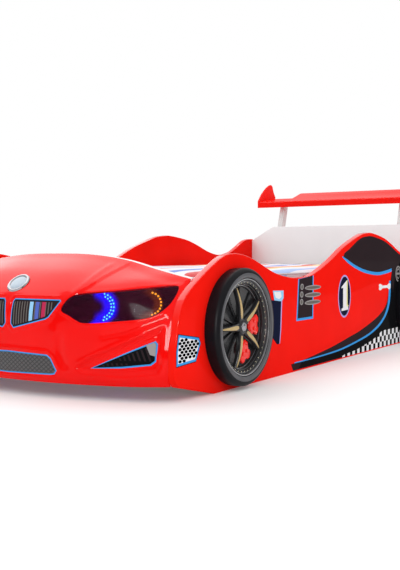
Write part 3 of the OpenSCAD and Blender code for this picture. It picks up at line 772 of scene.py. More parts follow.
def number_prints(add, side):
    """The start number in its oval, the right way round on either side."""
    add("number_rim", ellipse(NUMBER_CENTRE, (59, 77), 64), 0, "film_lilac", BLUE)
    add("number_field", ellipse(NUMBER_CENTRE, (52.5, 70.5), 64), 1, "film_navy", DARK)
    for name, loop, layer, material in (("number_one", NUMBER_ONE, 3, "film_white"),
                                        ("number_shade", NUMBER_SHADE, 2, "film_cream")):
        upright = loop if side > 0 else [(2 * NUMBER_CENTRE[0] - y, z) for y, z in loop]
        add(name, upright, layer, material, WHITE)


CAP_CENTRE = (545, 295)
HANDLE = [(319, 257), (332, 258), (345, 255), (357, 251), (385, 251), (412, 251), (424, 256), (437, 258),
          (449, 255), (450, 247), (449, 238), (437, 233), (424, 235), (412, 240), (385, 240), (357, 240),
          (345, 236), (332, 233), (319, 235), (315, 241), (319, 246), (315, 252)]
DUCT_CAP = [(-603, 266), (-531, 264), (-531, 240), (-546, 229), (-590, 226)]
DUCT_LIGHT = [(-596, 262), (-552, 261), (-545, 246), (-560, 238), (-584, 244)]
DUCT = [(-612, 238), (-546, 231), (-552, 144), (-559, 100), (-574, 100), (-590, 112), (-640, 150)]


def small_prints(add):
    """Filler cap, bone-shaped door handle, and the air duct behind the front wheel."""
    for name, outer, hole, count in (("fuel_ring", 33, 27, 48), ("fuel_disc", 22, 17, 40)):
        add(name, ellipse(CAP_CENTRE, (outer, outer), count), 3, "film_grey", WHITE,
            [ellipse(CAP_CENTRE, (hole, hole), count)])
    add("fuel_bar", [(521, 291), (569, 291), (569, 299), (521, 299)], 4, "film_grey", WHITE)
    add("handle_print", spline(HANDLE, 3, True), 4, "film_white", WHITE)
    add("duct_cap", DUCT_CAP, 1, "film_pale_blue", BLUE)
    add("duct_cap_light", DUCT_LIGHT, 2, "film_white", WHITE)
    add("duct", DUCT, 2, "film_navy", BLUE)
    add("duct_edge", band([(-544, 232), (-550, 144), (-557, 101)], [7, 6, 4]), 3, "film_lilac", BLUE)


BOARD_VENT = [(-1121, 176), (-1024, 160.5), (-1014, 144), (-1038, 97), (-1131, 92), (-1131, 132)]
DOT_PITCH, DOT_START, DOT_HALF = (18.6, 7.6), (-1123, 98), (7.9, 4.2)
DOT_ROWS, DOT_COLUMNS = 11, 8


def vent_prints(add, word):
    """Mesh vent in the board's front corner: staggered dark dots on white."""
    add("corner_vent_line", BOARD_VENT, 0, "film_black", DARK)
    add("corner_vent_frame", inset(BOARD_VENT, 2), 1, "film_blue", BLUE)
    add("corner_vent_web", inset(BOARD_VENT, 8), 2, "film_white", WHITE)
    limit = inset(BOARD_VENT, 11)
    spots = [(DOT_START[0] + DOT_PITCH[0] * (column + (row % 2) / 2), DOT_START[1] + DOT_PITCH[1] * row)
             for row in range(DOT_ROWS) for column in range(DOT_COLUMNS)]
    kept = [spot for spot in spots if inside([spot], limit)[0]]
    parts = [add(f"dot_{i}", ellipse(spot, DOT_HALF, 8), 3, "film_black", DARK)
             for i, spot in enumerate(kept)]
    joined(f"corner_vent_holes_{word}", parts)


def side_films(side, word):
    def add(name, outline, layer, material, slot, holes=()):
        return film(f"{name}_{word}", outline, layer, side, material, slot, holes)

    sweep_prints(add)
    check_prints(add, word)
    door_prints(add, word)
    number_prints(add, side)
    small_prints(add)
    vent_prints(add, word)


# ---- moulded nose --------------------------------------------------------------------------------
NOSE_X = np.array([0, 130, 250, 360, 460], float)
NOSE_SECTIONS = np.array([
    [(-1027, 379), (-1090, 354), (-1140, 330), (-1187, 298), (-1218, 268),
     (-1229, 230), (-1232, 180), (-1234, 120), (-1234, 60), (-1226, 38)],
    [(-1027, 376), (-1090, 351), (-1140, 328), (-1184, 297), (-1214, 268),
     (-1224, 230), (-1228, 180), (-1229, 120), (-1229, 60), (-1221, 38)],
    [(-1027, 361), (-1088, 337), (-1136, 316), (-1170, 297), (-1197, 270),
     (-1205, 230), (-1207, 180), (-1209, 120), (-1209, 60), (-1201, 38)],
    [(-1027, 334), (-1075, 322), (-1112, 310), (-1142, 292), (-1164, 268),
     (-1172, 230), (-1175, 180), (-1177, 120), (-1177, 60), (-1169, 38)],
    [(-1027, 312), (-1048, 297), (-1066, 284), (-1083, 270), (-1098, 252),
     (-1111, 230), (-1125, 178), (-1135, 125), (-1136, 72), (-1126, 40)]], float)
LAMP = [(180, 230), (189, 252), (207, 268), (232, 276), (282, 281), (354, 288), (410, 295), (438, 297),
        (449, 290), (453, 270), (448, 248), (433, 229), (413, 217), (385, 211), (339, 206), (251, 199),
        (226, 205), (206, 216)]
UPPER_GRILLE = [(20, 259), (172, 259), (176, 255), (141, 211), (130, 205), (20, 178), (9, 190), (11, 225),
                (14, 252)]
LOWER_GRILLE = [(0, 117), (137, 113), (149, 105), (168, 72), (161, 62), (150, 60), (0, 57)]
CORNER_VENT = [(261, 82), (428, 158), (434, 150), (432, 105), (419, 94), (346, 85)]
CORNER_POCKET = [(222, 84), (240, 70), (350, 66), (436, 74), (446, 96), (446, 196), (345, 148), (262, 112)]


def nose_loft(u, v):
    """The nose's outer surface; u >= 0 counts profiles out from the centre, v knots down a profile."""
    u, v = np.asarray(u, float), np.asarray(v, float)
    i, j = np.minimum(u.astype(int), 3), np.minimum(v.astype(int), 8)
    t, s = (u - i)[..., None], (v - j)[..., None]

    def profile(k):
        a = np.minimum(np.abs(k), 4)
        knot = lambda m: NOSE_SECTIONS[a, np.clip(m, 0, 9)]
        yz = blend4(knot(j - 1), knot(j), knot(j + 1), knot(j + 2), s)
        return np.concatenate([(np.sign(k) * NOSE_X[a])[..., None], yz], -1)

    return blend4(profile(i - 1), profile(i), profile(i + 1), profile(i + 2), t)


U_STEPS = np.linspace(0, 4, 401)
X_STEPS = nose_loft(U_STEPS, np.zeros(len(U_STEPS)))[:, 0]
LAST_KNOT = 9
HALVINGS = 26


def nose_y(x, z):
    """Depth of the plain nose surface at (x, z), by bisection down the profile."""
    x, z = np.abs(np.asarray(x, float)), np.asarray(z, float)
    u = np.interp(x, X_STEPS, U_STEPS)
    low, high = np.zeros_like(u), np.full_like(u, float(LAST_KNOT))
    for _ in range(HALVINGS):
        middle = (low + high) / 2
        above = nose_loft(u, middle)[..., 2] > z
        low, high = np.where(above, middle, low), np.where(above, high, middle)
    return nose_loft(u, (low + high) / 2)[..., 1]


def nose_edge(x, knot):
    """Height of the nose's rear edge (knot 0) or lower edge (knot 9) at x."""
    return nose_loft(np.interp(np.abs(x), X_STEPS, U_STEPS), np.full(np.shape(x), float(knot)))[..., 2]


def step(value):
    """A soft step from 0 to 1 as the value goes from 0 to 1."""
    value = np.clip(value, 0, 1)
    return value * value * (3 - 2 * value)


def distance_to(x, z, starts, ends):
    """Distance from each point to the nearest of these straight pieces."""
    p = np.stack([x, z], -1)
    best = np.full(len(p), 1e9)
    for a, b in zip(np.array(starts, float), np.array(ends, float)):
        d = b - a
        t = np.clip(((p - a) @ d) / max(float(d @ d), 1e-9), 0, 1)
        best = np.minimum(best, np.linalg.norm(p - (a + t[:, None] * d), axis=1))
    return best


def depth_in(x, z, loop):
    """Signed distance to an outline: positive inside."""
    best = distance_to(x, z, loop, np.roll(np.array(loop, float), -1, axis=0))
    return np.where(inside(np.stack([x, z], -1), loop), best, -best)


def along(x, z, line, width):
    """A soft ridge of this width along a line, 1 on the line."""
    return np.exp(-((distance_to(x, z, line[:-1], line[1:]) / width) ** 2))


# The raised middle of the bonnet: the (x, z) line where it ends.
DOME_EDGE = [(216, 272), (222, 277), (240, 293), (255, 320), (264, 340), (274, 362)]
DOME_DEPTH = 3.0
# The lip between bonnet and bumper, which stops short of the lamps.
BONNET_LIP, LIP_HEIGHT, LIP_WIDTH, LIP_END = [(0, 270), (150, 269), (215, 264)], 1.4, 7, 225
# Moulded ridges, and grooves below zero: height, (x, z) line and width.
RIDGES = [
    (1.2, [(206, 276), (222, 300), (226, 345)], 9),
    (1.2, [(3, 250), (2, 185)], 3),
    (-4.0, [(176, 158), (178, 120), (190, 92)], 12),
    (1.2, [(158, 175), (160, 130), (178, 88)], 8),
    (1.2, [(233, 96), (300, 128), (345, 148), (400, 175), (444, 200)], 5),
    (0.5, [(205, 70), (260, 58), (350, 54), (440, 62)], 9),
    (-2.0, [(300, 168), (360, 182), (440, 214)], 6)]
# Steps round an outline: height, how far outside the outline the step starts, and its width.
FRAMES = [
    (UPPER_GRILLE, [(1.6, 12, 4), (-3.4, 5, 3)]),
    (LOWER_GRILLE + [(-20, 57), (-20, 117)], [(1.2, 15, 5), (-3.0, 5, 3)]),
    (CORNER_POCKET, [(-9.0, 2, 14)]),
    (CORNER_VENT, [(-2.2, 4, 3)]),
    (LAMP, [(1.0, 9, 5), (-1.6, 3, 3)])]
PLAIN_RELIEF = -1.2


def nose_relief(x, z):
    """How far the moulded details stand out of (or, below zero, into) the plain surface."""
    x, z = np.abs(x), np.asarray(z, float)
    relief = np.full(len(x), PLAIN_RELIEF)
    edge_x = np.interp(z, [p[1] for p in DOME_EDGE], [p[0] for p in DOME_EDGE])
    relief -= DOME_DEPTH * step((x - edge_x + 3) / 6) * step((z - 268) / 5) * step((452 - x) / 30)
    relief += LIP_HEIGHT * along(x, z, BONNET_LIP, LIP_WIDTH) * (x < LIP_END)
    for height, line, width in RIDGES:
        relief += height * along(x, z, line, width)
    for outline, changes in FRAMES:
        depth = depth_in(x, z, outline)
        for height, outside, width in changes:
            relief += height * step((depth + outside) / width)
    relief -= 1.5 * step((x - 454) / 6)
    return relief * step((nose_edge(x, 0) - z) / 12)


NOSE_HALF = 459.9
SLOPE_STEP, STEEPEST = 0.4, 3


def nose_point(x, z, proud=0.0, relief=True):
    """Points of the moulded surface at (x, z), proud of it by that much."""
    x, z = np.atleast_1d(np.asarray(x, float)), np.atleast_1d(np.asarray(z, float))
    y = nose_y(x, z)
    up = np.minimum(z + SLOPE_STEP, nose_edge(x, 0))
    down = np.maximum(z - SLOPE_STEP, nose_edge(x, LAST_KNOT))
    out = np.minimum(np.abs(x) + SLOPE_STEP, NOSE_X[-1])
    back = np.maximum(np.abs(x) - SLOPE_STEP, 0)
    slope_x = (nose_y(out, z) - nose_y(back, z)) / np.maximum(out - back, 1e-6) * np.where(x < 0, -1, 1)
    slope_x = np.where(np.abs(x) < SLOPE_STEP, 0, slope_x)
    slope_z = (nose_y(x, up) - nose_y(x, down)) / np.maximum(up - down, 1e-6)
    slope_x, slope_z = np.clip(slope_x, -STEEPEST, STEEPEST), np.clip(slope_z, -STEEPEST, STEEPEST)
    n = np.stack([slope_x, -np.ones_like(x), slope_z], -1)
    n /= np.linalg.norm(n, axis=1, keepdims=True)
    n[np.abs(x) > NOSE_X[-1] - 1, 0] = 0
    offset = proud + (nose_relief(x, z) if relief else 0)
    return np.stack([x, y, z], -1) + n * np.reshape(offset, (-1, 1))


def nose_sheet(name, outline, high, low, material, slot, grid=(6, 5), replaces=(), sharp=35, relief=True):
    """A closed sheet that follows the moulded nose between two heights above its surface."""
    flat, faces = fill(dense(outline, grid[0]), (), grid)
    front = nose_point(flat[:, 0], flat[:, 1], high, relief)
    back = nose_point(flat[:, 0], flat[:, 1], low, relief)
    points, faces = thicken(front.tolist(), back.tolist(), faces)
    return piece(outward(make(name, points, faces, material, sharp)), slot, replaces)


WALL_GAP, LEAST_SINK = 2.6, -4


def front_nose():
    """The nose moulding: a shell through the relief, open at both lamps."""
    xs = np.linspace(-NOSE_HALF, NOSE_HALF, 185)
    tops, bottoms = nose_edge(xs, 0) - 0.05, nose_edge(xs, LAST_KNOT) + 0.05
    side_steps = np.linspace(0, 1, 60)[1:-1]
    outline = list(zip(xs, bottoms))
    outline += [(NOSE_HALF, z) for z in bottoms[-1] + (tops[-1] - bottoms[-1]) * side_steps]
    outline += list(zip(xs[::-1], tops[::-1]))
    outline += [(-NOSE_HALF, z) for z in tops[0] + (bottoms[0] - tops[0]) * side_steps]
    lamp = spline(LAMP, 5, True)
    flat, faces = fill(outline, [lamp, [(-x, z) for x, z in lamp]], (4.6, 3.6))
    front = nose_point(flat[:, 0], flat[:, 1])
    sunk = np.minimum(LEAST_SINK, nose_relief(flat[:, 0], flat[:, 1]) - WALL_GAP)
    back = nose_point(flat[:, 0], flat[:, 1], sunk, relief=False)
    for sheet in (front, back):
        sheet[:, 1] = np.minimum(sheet[:, 1], FOOT_Y - 0.2)
    points, faces = thicken(front.tolist(), back.tolist(), faces)
    shell = outward(make("nose_moulding", points, faces, "shell_red", 40))
    piece(shell, "red_shell", ["front_shell"])


GRILLE_LEAN, GRILLE_MIDDLE, LEAST_BAR = 0.02, 220, 8
SLAT_LEAN, SLAT_MIDDLE, SLAT_WIDTH, SLAT_PITCH, SLAT_START, SLATS = -0.35, 100, 5, 12.5, 292, 11
SLAT_GAP, LEAST_SLAT = (99, 104), 3
FINE_GRID = (9, 9)


def grille_bar(outline, x, width):
    """One bar of the upper grille, each edge trimmed to the outline; None where it is too short."""
    edges = []
    for edge_x in (x, x + width):
        line = [(edge_x + GRILLE_LEAN * (z - GRILLE_MIDDLE), z) for z in np.arange(170, 270, 1.0)]
        run = [point for point in line if inside([point], outline)[0]]
        if len(run) <= LEAST_BAR:
            return None
        edges.append(run)
    left, right = edges
    return [left[0], right[0], right[-1], left[-1]]


def intake_slats(outline):
    """Slanted slats of the corner intake, each broken by a gap at one height."""
    slats = []
    for x in (SLAT_START + SLAT_PITCH * k for k in range(SLATS)):
        at = lambda z, across=0: (x + across + SLAT_LEAN * (z - SLAT_MIDDLE), z)
        zs = [z for z in np.arange(80, 165, 1.0) if inside([at(z), at(z, SLAT_WIDTH)], outline).all()]
        for run in ([z for z in zs if z > SLAT_GAP[1]], [z for z in zs if z < SLAT_GAP[0]]):
            if len(run) > LEAST_SLAT:
                a, b = run[0], run[-1]
                slats.append([at(a), at(a, SLAT_WIDTH), at(b, SLAT_WIDTH), at(b)])
    return slats


def grille_films(side, word):
    def sheet(name, loop, high, material, slot, grid=(7, 7)):
        placed = [(side * x, z) for x, z in loop]
        return nose_sheet(f"{name}_{word}", placed, high, -0.5, material, slot, grid, sharp=30)

    sheet("upper_grille_frame", UPPER_GRILLE, 0.3, "film_blue", BLUE)
    sheet("upper_grille_line", inset(UPPER_GRILLE, 3.2), 0.5, "film_black", DARK)
    sheet("upper_grille_field", inset(UPPER_GRILLE, 4.6), 0.7, "film_dark", DARK)
    field = inset(UPPER_GRILLE, 7)
    bars = filter(None, [grille_bar(field, x, 3.2) for x in range(20, 168, 9)])
    strips = [sheet(f"bar_{i}", bar, 1.0, "film_bar", DARK, FINE_GRID) for i, bar in enumerate(bars)]
    joined(f"upper_grille_bars_{word}", strips)
    for i, (x, material) in enumerate(((76, "film_pale_blue"), (96, "film_violet"), (117, "film_crimson"))):
        sheet(f"upper_grille_accent_{i}", grille_bar(field, x, 12), 1.3, material, BLUE, FINE_GRID)

    sheet("corner_intake_frame", CORNER_VENT, 0.3, "film_blue", BLUE)
    sheet("corner_intake_field", inset(CORNER_VENT, 4.5), 0.6, "film_black", DARK)
    slats = intake_slats(inset(CORNER_VENT, 7))
    strips = [sheet(f"slat_{i}", slat, 1.0, "film_dark", DARK, FINE_GRID) for i, slat in enumerate(slats)]
    joined(f"corner_intake_slats_{word}", strips)
    # A grey patch at the intake's upper corner: painted highlight.
    light = [(406, 146), (426, 154), (430, 148), (429, 118), (416, 122)]
    sheet("corner_intake_highlight", light, 1.2, "film_grey", WHITE)


def lower_grille():
    low = mirrored(LOWER_GRILLE)
    nose_sheet("lower_grille_frame", low, 0.3, -0.5, "film_blue", BLUE, (8, 7))
    nose_sheet("lower_grille_field", inset(low, 3.6), 0.6, -0.5, "grille_mesh", DARK, (8, 7))


# ---- headlights ----------------------------------------------------------------------------------
def placed_ring(ring, side):
    """A function that turns ring-local points (x, y, z) in millimetres into the model frame."""
    centre, _, turn, tilt = ring
    spin = Matrix.Rotation(math.radians(turn), 3, "Z") @ Matrix.Rotation(math.radians(tilt), 3, "X")

    def place(point):
        x, y, z = (a + b for a, b in zip(spin @ Vector(point), centre))
        return side * x, y, z

    return place


def dome(radius, height, around=10, up=3):
    """Points and faces of one small lamp lens that stands on z = 0."""
    points = [(0, 0, height)]
    for j in range(1, up + 1):
        a = math.pi / 2 * j / up
        points += [(radius * math.sin(a) * math.cos(2 * math.pi * k / around),
                    radius * math.sin(a) * math.sin(2 * math.pi * k / around), height * math.cos(a))
                   for k in range(around)]
    faces = [(0, 1 + k, 1 + (k + 1) % around) for k in range(around)]
    for j in range(up - 1):
        row = 1 + j * around
        faces += [(row + k, row + around + k, row + around + (k + 1) % around, row + (k + 1) % around)
                  for k in range(around)]
    faces.append(tuple(range(len(points) - 1, len(points) - 1 - around, -1)))
    return points, faces


# Each lamp ring: centre, radius, turn and tilt in degrees.
BLUE_RING = ((283, -1180.5, 241), 35, 20, 82)
AMBER_RING = ((396, -1124, 250), 30, 31, 73)
STRIP_ARC, LAMP_ARC = 78, 76
STRIP_HALF, STRIP_DEPTH, LAMP_HEIGHT = 2.8, 1.5, 2.4
TRAY_DEPTH, TRAY_RIM, TRAY_SLOPE, TRAY_WALL = 21.0, 6.0, 16, 2.4


def led_ring(name, ring, side, colour, node, rows, dot):
    """A bent lamp board and its lamps; rows give each row's share of the radius, lamp count and stagger."""
    place = placed_ring(ring, side)
    radius = ring[1]
    arc = [math.radians(STRIP_ARC * (k / 20 - 1)) for k in range(41)]
    outer, inner = radius + STRIP_HALF, radius - STRIP_HALF
    strip = [(outer * math.cos(a), outer * math.sin(a)) for a in arc]
    strip += [(inner * math.cos(a), inner * math.sin(a)) for a in reversed(arc)]
    flat, faces = fill(strip)
    front, back = ([place((x, y, z)) for x, y in flat] for z in (0, -STRIP_DEPTH))
    points, faces = thicken(front, back, faces)
    slot = f"{colour}_led"
    piece(outward(make(f"{name}_board", points, faces, f"{colour}_board")), slot, [node])
    points, faces = [], []
    for share, count, shift in rows:
        for k in range(count):
            a = math.radians(LAMP_ARC * (2 * (k + shift) / (count - 1 + 2 * shift) - 1))
            middle_x, middle_y = radius * share * math.cos(a), radius * share * math.sin(a)
            lamp, lamp_faces = dome(dot, LAMP_HEIGHT)
            start = len(points)
            points += [place((middle_x + x, middle_y + y, z)) for x, y, z in lamp]
            faces += [tuple(start + i for i in f) for f in lamp_faces]
    piece(outward(make(f"{name}_lamps", points, faces, slot)), slot)


def headlight(side, word):
    lamp = [(side * x, z) for x, z in spline(LAMP, 5, True)]
    nose_sheet(f"lamp_lens_{word}", inset(lamp, 0.6), -0.9, -3.4, "smoked_lens", "smoked_lens", (9, 8),
               [f"headlight_lens_{word}"], relief=False)
    tray = inset(lamp, -2.4)
    flat, faces = fill(tray, (), (9, 8))
    rim = depth_in(np.abs(flat[:, 0]), flat[:, 1], [(abs(x), z) for x, z in tray])
    sink = -TRAY_RIM - TRAY_DEPTH * step(rim / TRAY_SLOPE)
    front = nose_point(flat[:, 0], flat[:, 1], sink, relief=False)
    back = nose_point(flat[:, 0], flat[:, 1], sink - TRAY_WALL, relief=False)
    points, faces = thicken(front.tolist(), back.tolist(), faces)
    piece(outward(make(f"lamp_tray_{word}", points, faces, "lamp_tray", 50)), "black_plastic",
          [f"headlight_housing_{word}"])
    led_ring(f"blue_ring_{word}", BLUE_RING, side, "blue", f"led_ring_blue_{word}",
             [(1.0, 11, 0.0), (0.80, 9, 0.5)], 2.1)
    led_ring(f"amber_ring_{word}", AMBER_RING, side, "amber", f"led_ring_amber_{word}", [(1.0, 10, 0.0)], 2.7)


BADGE_PLACE, BADGE_TILT = (0, -1187, 297), 42
BADGE_RIM = [(0, 2.2), (24.4, 2.2), (25.4, 3.4), (27, 4.2), (30, 4.4), (32.5, 3.7), (34, 1), (33, -1),
             (0, -1)]
BADGE_CENTRE = [(0, 4.2), (12, 4.0), (21, 3.3), (23.6, 2.9), (24, 2.3), (0, 2.3)]


def badge():
    """The blank badge on the bonnet: a bright rim round a plain disc."""
    tilt = Matrix.Rotation(math.radians(BADGE_TILT), 3, "X")

    def place(radius, height, angle):
        point = tilt @ Vector((radius * math.cos(angle), radius * math.sin(angle), height))
        return tuple(a + b for a, b in zip(point, BADGE_PLACE))

    rim = weld(make("badge_disc", *lathe(BADGE_RIM, 64, place), "chrome"))
    piece(rim, "badge_chrome", ["badge_blank"])
    centre = weld(make("badge_centre", *lathe(BADGE_CENTRE, 64, place), "badge_blue"))
    piece(centre, "badge_chrome")


# ---- wheels --------------------------------------------------------------------------------------
AXLE_Z = 174.0
FRONT_WHEEL_Y, REAR_WHEEL_Y = -833.0, 683.0
# A raised ring on the tyre's face in lighter grey, painted sheen: (radius, distance out of the board).
TYRE_SHEEN_RING = [(137.4, 38.6), (138.4, 40.8), (139.6, 41.9), (141.4, 42.7), (144, 42.95), (148, 42.85),
             (151, 42.3), (151, 41), (139, 38)]
DISH = [(0, 0.4), (136.6, 0.4), (136.6, 37), (135, 37.6), (132.5, 37.4), (131.5, 35.4), (130.2, 33.4),
        (127, 32.6), (126.2, 30.4), (123, 29.8), (121.8, 29.4), (120.5, 25), (118.5, 23.6), (117.4, 16),
        (115.6, 14.8), (113.6, 14.2), (112, 9.6), (108, 8.3), (60, 7.6), (30, 8), (23, 9), (22, 23.5),
        (20.5, 25.8), (18, 26.8), (13, 27), (0, 27)]
# The rim's real lip, covered in lighter grey as painted highlight: (radius, distance out of the board).
RIM_LIP_HIGHLIGHT = [(136.4, 36.6), (135, 37.9), (132.3, 37.7), (131.2, 35.8), (131.6, 35.2), (136.4, 35.2)]
# Bright lines on the rim: inner radius, width, distance out of the board.
RIM_LINES = ((133.4, 1.0, 37.4), (126.4, 0.8, 31.4), (115.6, 0.7, 15.2))
HUB_CAP = [(0, 27), (12.4, 27), (12.4, 28.6), (10.5, 30.4), (8, 30.6), (7.4, 30), (0, 31.2)]
DISH_RIB = [(26, 3), (60, 2.6), (112, 2), (112, -2), (60, -2.6), (26, -3)]
CALIPER = [(44, -13), (56, -24), (68, -27), (72, -22), (80, -22), (84, -28), (92, -29), (103, -20), (103, -8),
           (98, -5), (98, 5), (103, 8), (103, 20), (92, 30), (80, 27), (76, 22), (66, 22), (56, 24), (44, 13)]
CALIPER_RIB = [(50, -12), (60, -18), (62, -14), (53, -8), (53, 8), (62, 14), (60, 18), (50, 12)]
SPOKE_ANGLES = [180 - 72 * k for k in range(5)]
STUDS, STUD_CIRCLE, STUD_BASE = 44, 124.6, 29.3
ROUND = 144


def turned(outline, degrees):
    """An outline turned about the axle."""
    c, s = math.cos(math.radians(degrees)), math.sin(math.radians(degrees))
    return [(c * a - s * b, s * a + c * b) for a, b in outline]


def wheel_slab(name, outline, low, high, centre_y, side, material, edge):
    """A slab on a wheel: its outline in the wheel's plane, low and high its distance out of the board."""
    a, b = sorted((side * (OUTER_X + low), side * (OUTER_X + high)))
    shifted = [(centre_y + p, AXLE_Z + q) for p, q in outline]
    return slab(name, shifted, a, b, "x", material, edge)


def tyre_profile():
    """Tread, rounded shoulder and face of a tyre, as (radius, distance out of the board)."""
    tread = [(137, 0.2), (164, 0.2), (164.6, 3), (165, 7)]
    shoulder = [(152 + 13 * math.cos(a), 29 + 13 * math.sin(a)) for a in np.radians(np.linspace(0, 80, 12))]
    face = [(150, 41.7), (147, 42.1), (143.5, 42.1), (141, 41.8), (139.4, 41.0), (138, 39.2), (137.2, 37)]
    return tread + shoulder + face


def spoke(name, radii, halves, crown, below, centre_y, side, angle, material):
    """A spoke that arches outwards between hub and barrel: its cross-section is a ridge with soft edges."""
    points = []
    c, s = math.cos(math.radians(angle)), math.sin(math.radians(angle))
    for r, half in zip(radii, halves):
        top = 24.5 + 6.5 * math.sin(math.pi * min(max((r - 14) / 106, 0), 1)) + crown
        ridge = [(1, top - below), (1, top - 2.4), (0.8, top - 0.6), (0.55, top)]
        section = [(-half * w, x) for w, x in ridge] + [(half * w, x) for w, x in reversed(ridge)]
        points += [(side * (OUTER_X + x), centre_y + c * r - s * w, AXLE_Z + s * r + c * w)
                   for w, x in section]
    return outward(make(name, points, tube_faces(len(radii), 8), material))


def rim(tag, y, side, turn):
    """The dark rim with its five spokes and ribs, its lip in a lighter grey as painted highlight, bright
    lines, and the gold inlays.
    """
    parts = [turn("dish", DISH, "rim")]
    radii = np.linspace(13, 119, 15)
    halves = np.interp(radii, [13, 30, 60, 119], [12.5, 10.2, 7.6, 5.2])
    for angle in SPOKE_ANGLES:
        parts.append(spoke("spoke", radii, halves, 0, 12, y, side, angle, "rim"))
        for shift in (-20, 20):
            parts.append(wheel_slab("rib", turned(DISH_RIB, angle + shift), 7, 13, y, side, "rim", 1))
    piece(joined(f"rim_disc_{tag}", parts), "rim_plastic", [f"rim_{tag}"])
    # Painted highlight: the lip ring in lighter grey.
    piece(turn(f"rim_lip_{tag}", RIM_LIP_HIGHLIGHT, "rim_lip"), "rim_plastic")
    radii = np.linspace(26, 115, 14)
    halves = np.interp(radii, [26, 36, 60, 105, 115], [4.4, 7.4, 6.2, 3.2, 1.0])
    golds = [spoke("inlay", radii, halves, 0.9, 2.6, y, side, angle, "gold") for angle in SPOKE_ANGLES]
    piece(joined(f"rim_inlays_{tag}", golds), "rim_gold")
    lines = [turn("line", [(r, x - 0.4), (r + w, x - 0.4), (r + w, x + 0.5), (r, x + 0.5)], "zinc")
             for r, w, x in RIM_LINES]
    piece(joined(f"rim_lines_{tag}", lines), "rim_plastic")


def rim_studs(tag, y, side):
    points, faces = [], []
    for k in range(STUDS):
        a = 2 * math.pi * k / STUDS
        middle_y, middle_z = y + STUD_CIRCLE * math.cos(a), AXLE_Z + STUD_CIRCLE * math.sin(a)
        stud, stud_faces = dome(1.9, 1.5, 8, 2)
        start = len(points)
        points += [(side * (OUTER_X + STUD_BASE + h), middle_y + p, middle_z + q) for p, q, h in stud]
        faces += [tuple(start + i for i in f) for f in stud_faces]
    piece(outward(make(f"rim_studs_{tag}", points, faces, "stud")), "rim_gold")


def calipers(tag, y, side):
    """The two calipers of a wheel, each with two round bosses and a raised rib."""
    parts = []
    for angle in (0, -72):
        def add(name, outline, low, high, edge):
            parts.append(wheel_slab(name, turned(outline, angle), low, high, y, side, "caliper", edge))

        add("caliper", CALIPER, 8.2, 18.5, 1.8)
        for at in (-10, 11):
            add("boss", ellipse((78, at), (6, 6), 20), 16, 20.8, 1)
        add("rib", CALIPER_RIB, 16, 20.4, 0.8)
    piece(joined(f"brake_calipers_{tag}", parts), "caliper_red", [f"calipers_{tag}"])


def wheel(tag, y, side):
    def turn(name, profile, material, segments=ROUND):
        return revolve(name, profile, (OUTER_X, y, AXLE_Z), side, material, segments)

    piece(turn(f"tyre_ring_{tag}", tyre_profile(), "tyre"), "tyre_plastic", [f"tyre_{tag}"])
    # The lighter ring on the tyre's face is painted sheen.
    piece(turn(f"tyre_bead_{tag}", TYRE_SHEEN_RING, "tyre_bead"), "tyre_plastic")
    rim(tag, y, side, turn)
    rim_studs(tag, y, side)
    calipers(tag, y, side)
    piece(turn(f"wheel_cap_{tag}", HUB_CAP, "chrome", 48), "zinc_steel", [f"hub_cap_{tag}"])


def wheels(side, word):
    wheel(f"front_{word}", FRONT_WHEEL_Y, side)
    wheel(f"rear_{word}", REAR_WHEEL_Y, side)


# ---- wing ----------------------------------------------------------------------------------------
BLADE = [((1038, 620), (1038, 620)), ((1060, 622), (1060, 622)), ((1120, 640), (1120, 640)),
         ((1180, 657), (1180, 657)), ((1212, 666), (1216, 668)), ((1218, 670), (1234, 690)),
         ((1216, 677), (1232, 703)), ((1195, 675.5), (1205, 700)), ((1160, 672), (1160, 684)),
         ((1110, 665), (1112, 667)), ((1060, 655), (1060, 655)), ((1040, 651), (1040, 651)),
         ((1037, 647), (1037, 647))]


def loft(name, stations, sections, material, slot, replaces, bevel):
    """A closed solid through sections of (y, z) points at each station along x."""
    points = [(x, y, z) for x, section in zip(stations, sections) for y, z in section]
    faces = tube_faces(len(stations), len(sections[0]))
    obj = outward(make(name, points, faces, material))
    soften(obj, bevel)
    return piece(obj, slot, replaces)


def soften(obj, width_mm, segments=3):
    """Rounds the sharp edges."""
    modifier = obj.modifiers.new("edges", "BEVEL")
    modifier.width = width_mm * MM
    modifier.segments = segments
    modifier.limit_method = "ANGLE"
    modifier.angle_limit = math.radians(32)
    modifier.harden_normals = True
    return obj


# The blade's rear lip is raised between its ends: how much of the raise there is at each x.
STATIONS = [-442.8, -330, -306, -298, -290, -282, 0, 282, 290, 298, 306, 330, 442.8]
LIFTS = [0, 0, 0, 0.35, 0.8, 1, 1, 1, 0.8, 0.35, 0, 0, 0]
FIN_FOOT = [(1038, 620), (1060, 622), (1120, 640), (1218, 668)]
FIN_TOP = [(1234, 684), (1210, 713), (1197, 740), (1186, 749), (1167, 749), (1126, 731), (1079, 699),
           (1050, 670), (1037, 656)]
POST_BEND = [(1012.7, 440), (1074, 625.9), (1108, 636), (1046, 420), (1032, 340)]
FIN_X, POST_X = (443.1, 451), (306, 334)


def wing():
    sections = [[tuple(np.array(a) + (np.array(b) - a) * k) for a, b in BLADE] for k in LIFTS]
    loft("wing_plane", STATIONS, sections, "wing_red", "red_shell", ["wing_blade"], 1.4)
    fin = FIN_FOOT + spline(FIN_TOP, 6)
    post = [(1012.7, 230)] + spline(POST_BEND, 5) + [(1032, 230)]
    for side, word in SIDES:
        low, high = sorted(side * x for x in FIN_X)
        piece(slab(f"wing_fin_{word}", fin, low, high, "x", "wing_red", 2.4),
              "red_shell", [f"wing_endplate_{word}"])
        low, high = sorted(side * x for x in POST_X)
        piece(slab(f"wing_strut_{word}", post, low, high, "x", "post_grey", 3.0),
              "grey_post", [f"wing_post_{word}"])


